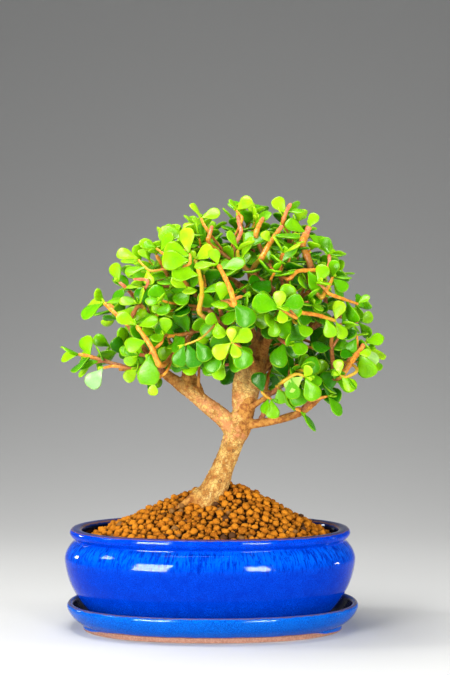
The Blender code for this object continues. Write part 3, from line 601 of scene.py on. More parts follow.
def makeBedPaintedShade():
    look = Look("clayDust", Roughness=0.95, Specular_IOR_Level=0.15)
    crumb = look.cloud(500, 4, 0.7)
    # Near black: painted shade for the gaps between the grains on the bed
    look.colour = look.blend(crumb, 0.35, 0.7, (0.012, 0.005, 0.002), (0.085, 0.032, 0.008))
    return look.close(crumb, 0.8, 0.0015)


# Tree: (x, y, z, radius) in millimetres along the trunk and each limb

trunk = inMetres([(-12.5, 0, 58, 10), (-8.5, 0, 74, 12.5), (-1.5, 0, 91, 11.6), (6, 0, 107, 8.9),
                  (11.6, 0, 121.5, 7.8), (16.6, 0, 135, 8.1), (20.5, 0, 144.5, 9.1), (23, 0.8, 152.5, 8.3),
                  (27, 2, 166, 7.6), (31.5, 3, 180, 7), (36, 3, 196, 6.2), (39, 2, 213, 5.2),
                  (38.5, 0, 227, 4.2), (34.5, -2, 241, 3.5), (30, -1, 256, 2.9), (27.5, 2, 272, 2.4)])

limbs = {
    "left": [(19, 0, 140, 7), (11, -1, 151, 6.7), (3, -3, 158, 6.3), (-8, -6, 167, 5.6), (-18, -8, 175, 5.2),
        (-28, -10, 182, 4), (-37, -13, 189, 3.1), (-44, -16, 197, 2.5), (-50, -18, 208, 2)],
    "leftRise": [(-18, -8, 176, 4), (-17, -7, 188, 3.4), (-16, -9, 202, 3.1), (-15, -13, 217, 2.7),
        (-18, -17, 232, 2.2), (-23, -19, 245, 1.9)],
    "leftLow": [(-35, -12, 187.5, 2.8), (-46, -14, 189.5, 2.2), (-57, -14, 189, 1.9), (-66, -13, 189, 1.8)],
    "leftBack": [(-6, -5, 166, 4), (-11, 8, 178, 3.4), (-19, 22, 191, 2.9), (-30, 36, 205, 2.4),
        (-40, 46, 219, 1.9)],
    "rightLow": [(22, 0, 146.5, 4), (36, -4, 149, 3.3), (51, -8, 152, 3.1), (66, -12, 157.5, 2.8),
        (79, -15, 168, 2.4), (87, -17, 177, 2)],
    "rightThin": [(25, 0, 157, 3), (37, -13, 166, 2), (49, -20, 175, 1.7), (58, -26, 181, 1.5)],
    "rightMid": [(32, 3, 185, 4.5), (45, 6, 195, 3.5), (59, 8, 206, 2.8), (73, 7, 217, 2.3), (84, 4, 228, 1.9)],
    "rightBack": [(30.5, 3, 176, 4.2), (39, 18, 187, 3.3), (50, 33, 199, 2.7), (60, 44, 211, 2)],
    "back": [(36.5, 3, 197, 4), (33, 19, 210, 3.2), (27, 34, 224, 2.6), (22, 45, 238, 2)],
    "frontRight": [(37, 2, 200, 3.8), (42, -13, 210, 3.1), (48, -27, 222, 2.5), (53, -40, 235, 1.9)],
    "front": [(34.5, 2, 191, 3.8), (27, -14, 198, 2.8), (19, -28, 207, 2.3), (11, -40, 219, 1.9)],
    "topRight": [(38.8, 1, 224, 3.6), (47, -2, 237, 2.9), (56, -3, 250, 2.4), (64, -4, 263, 1.9)],
    "topLeft": [(35, -1.5, 240, 3), (22, -2, 249, 2.5), (9, -3, 258, 2.1), (-3, -3, 268, 1.8)],
    "topBack": [(31, -1, 253, 2.6), (35, 14, 261, 2.2), (39, 26, 269, 1.8)],
}
limbs = {name: inMetres(path) for name, path in limbs.items()}
wood = [trunk] + list(limbs.values())

# Surface roots at the trunk's foot, a swelling on its left below the crown, and a dry twig on the left limb
growths = [
    [(-6, -3, 96.5, 5.8), (-12, -6, 94.5, 4), (-19, -8.5, 90.5, 2.2), (-27, -11, 85, 1.6)],
    [(0, 2, 95, 6), (9.5, 5, 96, 3.8), (19, 7, 90, 2.6)],
    [(-6, 4, 96, 6), (-13, 12, 95, 3.6), (-20, 20, 88, 2.4)],
    [(23.5, 1, 154, 7), (23.2, 1.5, 168, 7.4), (24, 2, 181, 7), (28, 2, 196, 5.4), (34.5, 2.5, 206, 4)],
    [(-8, -4.5, 167, 2), (-8.5, -6, 176, 1.4), (-8, -8, 188, 1.2), (-8.5, -10, 198, 0.9)],
]
growths = [inMetres(path) for path in growths]

crown = {
    "heart": Vector((0.01, 0.0, 0.222)),
    "radii": Vector((0.104, 0.086, 0.082)),
    "outlineTips": inMetres([(-93.5, -12, 198.5), (-77, -4, 237), (-51.5, 4, 265), (-29, -18, 280),
                             (-8, 6, 293), (22, -6, 301), (56, 6, 301), (71, -12, 283), (88, 8, 268),
                             (105, 2, 234.5), (114, -16, 204)]),
    "frontTips": inMetres([(94, -40, 222), (92, -32, 180), (70, -46, 186), (15, -72, 208), (50, -78, 236),
                           (8, -80, 238), (-22, -66, 260), (20, -64, 274), (52, -56, 272), (-49, -54, 236),
                           (-50, -48, 200), (-31, -66, 215), (76, -56, 251)]),
    "innerTips": inMetres([(12, 46, 255), (-28, 70, 200), (-56, 40, 254), (-74, 18, 204), (-6, -46, 196),
                           (76, -16, 242), (-38, -40, 271), (-20, 34, 272), (10, 72, 238), (67, 50, 243),
                           (56, -58, 208)]),
    "backTips": 12,
    "backFlatten": 0.9,
    "backWidth": 0.85,
    "lowestTip": 0.19,
    "seed": 11,
    "gap": 0.0003,
}

stems = {
    "twigLeast": 0.011,
    "twigRadius": (0.0021, 0.0016),
    "sprayLength": 0.034,
    "radius": (0.0016, 0.0011),
    "sideRadius": (0.0012, 0.0009),
    "sideLength": (0.013, 0.018),
    "sideAngle": math.radians(44),
    "shoots": 1,
    "shootBend": 0.68,
    "thickestHost": 0.0048,
    "spacing": 0.0113,
    "firstNode": 0.62,
    "splice": 0.0045,
    "tipInset": 0.0008,
    "tries": 24,
    "tipShift": 0.0004,
    "sway": 0.25,
    "follow": 0.5,
    "rise": 0.35,
    "pull": 0.36,
}

leafForm = {
    "length": 0.018,
    "width": 0.0136,
    "thickness": 0.0019,
    "widest": 0.66,
    "wedge": 1.55,
    "roundness": 2.4,
    "neck": 0.1,
    "crown": 0.62,
    "sides": 7,
    "cup": 0.1,
    "rootDepth": 0.5,
    "clearance": 0.0009,
    "tries": 7,
    "wobble": 0.1,
    # Leaves face more and more upwards over this height
    "topFrom": 0.205,
    "topDepth": 0.06,
}


def splitPath(path):
    return [Vector(point[:3]) for point in path], [point[3] for point in path]


def distancesAlong(points):
    total = [0.0]
    for a, b in zip(points, points[1:]):
        total.append(total[-1] + (b - a).length)
    return total


def pointAt(points, lengths, where):
    where = max(0.0, min(where, lengths[-1]))
    for i in range(len(points) - 1):
        if where <= lengths[i + 1]:
            return points[i].lerp(points[i + 1], (where - lengths[i]) / (lengths[i + 1] - lengths[i]))
    return points[-1].copy()


def tubeShell(points, radii, grow):
    sides = 6
    verts, faces = [], []
    for i, (point, radius) in enumerate(zip(points, radii)):
        ahead = points[min(i + 1, len(points) - 1)] - points[max(i - 1, 0)]
        across = ahead.orthogonal().normalized()
        beside = ahead.normalized().cross(across)
        for k in range(sides):
            angle = 2 * math.pi * k / sides
            verts.append(point + (across * math.cos(angle) + beside * math.sin(angle)) * (radius + grow))
        if i:
            low = (i - 1) * sides
            for k in range(sides):
                j = (k + 1) % sides
                faces.append((low + k, low + j, low + sides + j, low + sides + k))
    return BVHTree.FromPolygons(verts, faces)


class Obstacle:
    def __init__(self, shell, points, reach, owner):
        low = Vector([min(p[i] for p in points) for i in range(3)])
        high = Vector([max(p[i] for p in points) for i in range(3)])
        self.centre = (low + high) / 2
        self.reach = (high - low).length / 2 + reach
        self.shell = shell
        self.owner = owner


def clearOf(candidate, obstacles, skip=()):
    for other in obstacles:
        if other.owner in skip:
            continue
        apart = (candidate.centre - other.centre).length
        if apart < candidate.reach + other.reach and candidate.shell.overlap(other.shell):
            return False
    return True


def tubeObstacle(points, radii, owner, grow=0.0):
    return Obstacle(tubeShell(points, radii, grow), points, max(radii) + grow, owner)


def halfWidth(share):
    widest, neck = leafForm["widest"], leafForm["neck"]
    if share <= widest:
        return neck + (1 - neck) * math.sin(math.pi / 2 * (share / widest) ** leafForm["wedge"])
    beyond = (share - widest) / (1 - widest)
    power = leafForm["roundness"]
    return max(0.0, 1 - beyond**power) ** (1 / power)


def leafShell(leaf, grow):
    bm = bmesh.new()
    bmesh.ops.create_uvsphere(bm, u_segments=leafForm["sides"], v_segments=2, radius=1.0)
    rim = [vert for vert in bm.verts if abs(vert.co.z) < 0.5]
    start = math.atan2(rim[0].co.y, rim[0].co.x)
    longest = (1 + math.cos(math.pi / leafForm["sides"])) / 2
    for vert in bm.verts:
        angle = math.atan2(vert.co.y, vert.co.x) - start
        share = leafForm["crown"] if vert not in rim else (1 - math.cos(angle)) / 2
        across = 0.0 if vert not in rim else math.copysign(halfWidth(share), math.sin(angle))
        if abs(math.sin(angle)) < 1e-4:
            across = 0.0
        lift = leafForm["cup"] * across * across * (1 - share) + leaf["curl"] * share * share
        spot = Vector((share / longest, across, vert.co.z))
        spot.x = leaf["start"] + spot.x * (leaf["length"] + grow)
        spot.y *= leaf["width"] / 2 + grow
        spot.z = spot.z * (leafForm["thickness"] / 2 + grow) + lift * leaf["length"]
        vert.co = leaf["place"] @ spot
    return bm


def leafObstacle(leaf, owner, grow):
    bm = leafShell(leaf, grow)
    points = [vert.co.copy() for vert in bm.verts]
    shell = BVHTree.FromBMesh(bm)
    bm.free()
    return Obstacle(shell, points, 0.0, owner)


def leafPlace(root, along, normal):
    along = along.normalized()
    normal = (normal - along * normal.dot(along)).normalized()
    place = Matrix((along, normal.cross(along), normal)).transposed().to_4x4()
    place.translation = root
    return place


def hostPoints(thickest):
    hosts = []
    for path in wood:
        points, radii = splitPath(path)
        for i in range(1, len(points)):
            for share in (0.5, 1.0):
                radius = radii[i - 1] + (radii[i] - radii[i - 1]) * share
                if radius <= thickest:
                    ahead = (points[i] - points[i - 1]).normalized()
                    hosts.append((points[i - 1].lerp(points[i], share), ahead, radius))
    return hosts


def nearestHost(tip, hosts, shortest=0.04):
    def cost(host):
        reach = tip - host[0]
        turn = 1 - host[1].dot(reach.normalized())
        return reach.length * (1 + 0.5 * turn) + 3 * max(0.0, shortest - reach.length)

    return min(hosts, key=cost)


def allTips():
    heart, radii = crown["heart"], crown["radii"]
    tips = [Vector(tip) for tip in crown["outlineTips"] + crown["frontTips"] + crown["innerTips"]]
    golden = math.pi * (3 - math.sqrt(5))
    for i in range(crown["backTips"]):
        depth = 1 - crown["backFlatten"] * (i + 0.5) / crown["backTips"]
        ring = math.sqrt(1 - depth * depth)
        aim = Vector((ring * math.cos(i * golden), depth, ring * math.sin(i * golden)))
        tip = heart + Vector((aim.x * radii.x * crown["backWidth"], aim.y * radii.y, aim.z * radii.z))
        tip.z = max(tip.z, crown["lowestTip"])
        tips.append(tip)
    return tips


def outward(point):
    reach = point - crown["heart"]
    radii = crown["radii"]
    return Vector((reach.x / radii.x, reach.y / radii.y, reach.z / radii.z)).normalized()


def randomVector(draw):
    return Vector([draw.uniform(-1, 1) for _ in range(3)])


def growPath(tip, host, draw):
    start, ahead, _ = host
    reach = tip - start
    sway = randomVector(draw) * stems["sway"]
    leave = (ahead * stems["follow"] + reach.normalized() + sway).normalized()
    arrive = (outward(tip) + Vector((0, 0, stems["rise"])) + sway).normalized()
    pull = stems["pull"] * reach.length
    curve = interpolate_bezier(start, start + leave * pull, tip - arrive * pull, tip, 33)
    return [Vector(point) for point in curve]


def dividePath(path):
    lengths = distancesAlong(path)
    spray = min(stems["sprayLength"], lengths[-1] - stems["twigLeast"])
    cut = lengths[-1] - spray
    nodes = max(2, round(spray / stems["spacing"]))
    step = spray / nodes
    bends = [pointAt(path, lengths, cut + step * (i + 1.5)) for i in range(nodes - 1)]
    before = pointAt(path, lengths, cut - stems["splice"])
    ahead = (bends[0] - before).normalized()
    joint = before + ahead * stems["splice"]
    gap = ahead * crown["gap"] / 2
    return [path[0], before, joint - gap], [joint + gap] + bends + [path[-1]]


def taper(count, ends):
    return [ends[0] + (ends[1] - ends[0]) * i / (count - 1) for i in range(count)]


def roomFor(twig, stem, number, obstacles):
    start = tubeObstacle(stem[0][:2], stem[1][:2], number, crown["gap"])
    free = tubeObstacle(stem[0][1:], stem[1][1:], number, leafForm["clearance"])
    wood = tubeObstacle(*twig, "wood", crown["gap"])
    return clearOf(start, obstacles) and clearOf(free, obstacles) and clearOf(wood, obstacles, {"wood"})


def growStems(obstacles):
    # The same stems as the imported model's, from the same draws
    sprays = []
    hosts = hostPoints(stems["thickestHost"])
    for number, tip in enumerate(allTips()):
        draw = random.Random(crown["seed"] * 1000 + number)
        for attempt in range(stems["tries"]):
            aim = tip + randomVector(draw) * stems["tipShift"] * attempt
            host = nearestHost(aim, hosts)
            twigPath, stemPath = dividePath(growPath(aim, host, draw))
            twig = (twigPath, taper(len(twigPath), stems["twigRadius"]))
            twig[1][0] = min(twig[1][0], host[2] * 0.9)
            stem = (stemPath, taper(len(stemPath), stems["radius"]))
            if roomFor(twig, stem, number, obstacles):
                break
        else:
            continue
        obstacles.append(tubeObstacle(*twig, "wood"))
        obstacles.append(tubeObstacle(*stem, number))
        sprays.append({"number": number, "draw": draw, "twig": twig, "stems": [stem], "leaves": []})
    return sprays


def tryLeaf(spray, obstacles, root, tangent, radius, side, size, lean, partner, tone=0.5, clearance=None):
    draw, number = spray["draw"], spray["number"]
    clearance = leafForm["clearance"] if clearance is None else clearance
    for attempt in range(leafForm["tries"]):
        wobble = attempt * leafForm["wobble"]
        twist = Matrix.Rotation(draw.uniform(-1, 1) * (0.15 + wobble), 3, tangent)
        angle = lean + draw.uniform(-1, 1) * (0.12 + wobble)
        along = tangent * math.cos(angle) + (twist @ side) * math.sin(angle)
        high = max(0.0, min(1.0, (root.z - leafForm["topFrom"]) / leafForm["topDepth"]))
        light = Vector((0, math.copysign(0.55 * (1 - high), root.y), 0.35 + 0.4 * high))
        face = tangent * 0.45 + outward(root) * 0.35 + light + randomVector(draw) * 0.25
        face.z += spray.get("rise", 0.0)
        scale = size * draw.uniform(0.9, 1.08) * (1 - 0.05 * attempt)
        leaf = {
            "place": leafPlace(root, along, face),
            "start": leafForm["rootDepth"] * radius,
            "length": leafForm["length"] * scale,
            "width": leafForm["width"] * scale * draw.uniform(0.9, 1.08),
            "curl": draw.uniform(-0.16, 0.08),
            "tone": tone,
        }
        candidate = leafObstacle(leaf, (number, "leaf", partner), clearance)
        if clearOf(candidate, obstacles, {number, (number, "leaf", partner)}):
            obstacles.append(leafObstacle(leaf, (number, "leaf", partner), 0.0))
            spray["leaves"].append(leaf)
            return True
    return False


def leafNodes(points, radii):
    nodes = []
    for i in range(len(points) - 2):
        share = 0.5 if i else stems["firstNode"]
        tangent = (points[i + 1] - points[i]).normalized()
        nodes.append((points[i].lerp(points[i + 1], share), tangent, (radii[i] + radii[i + 1]) / 2))
    tangent = (points[-1] - points[-2]).normalized()
    nodes.append((points[-1] - tangent * stems["tipInset"], tangent, radii[-1]))
    return nodes


def pairSide(tangent, phase, number):
    across = tangent.cross(Vector((0.31, 0.17, 0.93))).normalized()
    return Matrix.Rotation(phase + number * math.pi / 2, 3, tangent) @ across


def growPairs(spray, obstacles, nodes, sizes, leans, phase, taken=(), tones=None, clearance=None):
    for number, (root, tangent, radius) in enumerate(nodes):
        side = pairSide(tangent, phase, number)
        partner = tuple(round(value, 5) for value in root)
        tone = (tones or [0.3, 0.5, 0.72])[-len(nodes):][number]
        for hand in (1, -1):
            if (number, hand) not in taken:
                tryLeaf(spray, obstacles, root, tangent, radius, side * hand, sizes[number], leans[number],
                        partner, tone, clearance)


def growShoots(spray, obstacles, nodes, phase):
    draw = spray["draw"]
    taken = set()
    if spray["number"] >= len(crown["outlineTips"] + crown["frontTips"]):
        return taken
    for number, (root, tangent, _) in enumerate(nodes[:-1]):
        if len(taken) == stems["shoots"]:
            break
        hand = draw.choice((1, -1))
        side = pairSide(tangent, phase, number) * hand
        length = draw.uniform(*stems["sideLength"])
        aim = tangent * math.cos(stems["sideAngle"]) + side * math.sin(stems["sideAngle"])
        bend = (aim + outward(root) * 0.25).normalized()
        middle = root + aim * length * stems["shootBend"]
        shoot = [root, middle, middle + bend * length * (1 - stems["shootBend"])]
        radii = taper(3, stems["sideRadius"])
        test = tubeObstacle(shoot[1:], radii[1:], spray["number"], leafForm["clearance"])
        if clearOf(test, obstacles, {spray["number"]}):
            obstacles.append(tubeObstacle(shoot, radii, spray["number"]))
            spray["stems"].append((shoot, radii))
            taken.add((number, hand))
    return taken


def growSpray(spray, obstacles):
    draw = spray["draw"]
    nodes = leafNodes(*spray["stems"][0])
    phase = draw.uniform(0, math.pi)
    taken = growShoots(spray, obstacles, nodes, phase)
    sizes = [1.0] * (len(nodes) - 2) + [0.98, 0.8]
    leans = [math.radians(66)] * (len(nodes) - 2) + [math.radians(58), math.radians(40)]
    growPairs(spray, obstacles, nodes, sizes, leans, phase, taken)
    for shoot in spray["stems"][1:]:
        turn = draw.uniform(0, math.pi)
        growPairs(spray, obstacles, leafNodes(*shoot), [0.92, 0.74], [math.radians(58), math.radians(40)], turn,
                  tones=[0.55, 0.8])


# Shoots that only the picture needs: they fill the crown where it is still thin
fillers = {
    "seed": 29,
    "count": 104,
    "choices": 14,
    "lowest": 0.183,
    "rise": 0.55,
    "sizes": [1.04, 1.04, 0.94, 0.68],
    # The crown's left and right limit by height, seen from the front, and how far leaves may pass it
    "sides": [(0.176, -0.04, 0.085), (0.2, -0.06, 0.098), (0.216, -0.05, 0.09), (0.232, -0.056, 0.085),
              (0.252, -0.05, 0.086), (0.27, -0.04, 0.078), (0.288, -0.024, 0.064), (0.304, 0.004, 0.044)],
    "over": 0.011,
    # No leaf hangs lower than this between these two, left and right
    "underside": (-0.036, 0.03, 0.187),
    # Kept open: left, right, low, high, and the depth behind which leaves may grow
    "windows": [(0.014, 0.048, 0.16, 0.228, 0.0), (-0.025, -0.008, 0.194, 0.236, -0.01),
                (0.066, 0.09, 0.192, 0.224, 1.0), (-0.03, 0.012, 0.16, 0.19, 0.03)],
    "depth": (0.42, 1.0),
    "lengths": (0.01, 0.045),
    "riseFrom": 0.215,
    "riseDepth": 0.04,
    "radius": (0.0013, 0.0008),
    "clearance": 0.0003,
    "spacing": 0.0085,
    "front": 0.62,
}


def sideLimits(height):
    rows = fillers["sides"]
    for (low, leftA, rightA), (high, leftB, rightB) in zip(rows, rows[1:]):
        if height <= high:
            share = max(0.0, (height - low) / (high - low))
            return leftA + (leftB - leftA) * share, rightA + (rightB - rightA) * share
    return rows[-1][1:]


def inCrown(point, over=0.0):
    left, right = sideLimits(point.z)
    return left - over < point.x < right + over


def inWindow(point):
    return any(
        left < point.x < right and low < point.z < high and point.y < behind
        for left, right, low, high, behind in fillers["windows"]
    )


def crownPoint(draw, front):
    while True:
        spot = randomVector(draw)
        if not 0.001 < spot.length <= 1 or draw.random() < front and spot.y > 0:
            continue
        share = draw.uniform(*fillers["depth"]) ** 0.5
        spot = spot.normalized() * share
        radii = crown["radii"]
        point = crown["heart"] + Vector((spot.x * radii.x, spot.y * radii.y, spot.z * radii.z))
        if point.z > fillers["lowest"] and inCrown(point) and not inWindow(point):
            return point


def woodHosts(sprays):
    hosts = hostPoints(stems["thickestHost"])
    for spray in sprays:
        (start, end, _), radii = spray["twig"]
        hosts += [(start.lerp(end, share), (end - start).normalized(), radii[1]) for share in (0.3, 0.6, 0.9)]
    return hosts


def growFillers(sprays, grown, obstacles):
    draw = random.Random(fillers["seed"])
    hosts = woodHosts(sprays)
    for number in range(100, 100 + fillers["count"]):
        taken = [leaf["place"].translation for spray in sprays + grown for leaf in spray["leaves"]]
        spots = [crownPoint(draw, fillers["front"]) for _ in range(fillers["choices"])]
        spots.sort(key=lambda spot: -min((spot - other).length for other in taken))
        for spot in spots[:5]:
            host = nearestHost(spot, hosts, 0.012)
            reach = spot - host[0]
            length = min(max(reach.length, fillers["lengths"][0]), fillers["lengths"][1])
            tip = host[0] + reach.normalized() * length
            leave = (host[1] * 0.4 + reach.normalized()).normalized()
            pull = 0.35 * length
            path = interpolate_bezier(host[0], host[0] + leave * pull, tip - outward(tip) * pull, tip, 6)
            path = [Vector(point) for point in path]
            radii = taper(6, fillers["radius"])
            test = tubeObstacle(path[1:], radii[1:], number, fillers["clearance"])
            if clearOf(test, obstacles, {"wood"}):
                break
        else:
            continue
        rise = fillers["rise"] * max(0.0, min(1.0, (tip.z - fillers["riseFrom"]) / fillers["riseDepth"]))
        spray = {"number": number, "draw": draw, "stems": [(path, radii)], "leaves": [], "rise": rise}
        obstacles.append(tubeObstacle(path, radii, number))
        lengths = distancesAlong(path)
        count = max(2, min(4, round(lengths[-1] / fillers["spacing"])))
        nodes = []
        for i in range(count):
            where = lengths[-1] * (0.4 + 0.6 * i / (count - 1)) - (0.0006 if i == count - 1 else 0)
            tangent = (pointAt(path, lengths, where) - pointAt(path, lengths, where - 0.004)).normalized()
            nodes.append((pointAt(path, lengths, where), tangent, 0.001))
        sizes = fillers["sizes"][-count:]
        leans = [math.radians(angle) for angle in (66, 64, 56, 36)[-count:]]
        growPairs(spray, obstacles, nodes, sizes, leans, draw.uniform(0, math.pi),
                  tones=[0.16, 0.26, 0.44, 0.66][-count:], clearance=fillers["clearance"])
        spray["leaves"] = [leaf for leaf in spray["leaves"] if fitsCrown(leafTip(leaf))]
        grown.append(spray)


def fitsCrown(tip):
    left, right, low = fillers["underside"]
    return inCrown(tip, fillers["over"]) and not (left < tip.x < right and tip.z < low)


def leafTip(leaf):
    return leaf["place"] @ Vector((leaf["length"], 0, 0))


# Shoots that the photograph shows plainly. Each has its stem in pixels of the photograph from root to tip, its
# radius in millimetres and its tint at both ends, then its leaves: share along the stem, bearing in the
# picture, lean to the viewer and roll in degrees, length in millimetres, and tone, which holds the leaf's
# painted light and shade, and above 1 a painted silvery sheen
picture = {
    "middle": (210, 298),
    "middleHeight": 0.24,
    "pixel": 0.00073,
    "reach": 0.96,
    "push": 0.0016,
    "pushes": 9,
    # Depth of the shoots that hang from the low limbs
    "near": {"underRight": -0.026, "limbHanging": -0.018, "lowHanging": -0.03, "lowGroup": -0.044,
             "thinLeaf": -0.024, "lowNode": -0.04},
}

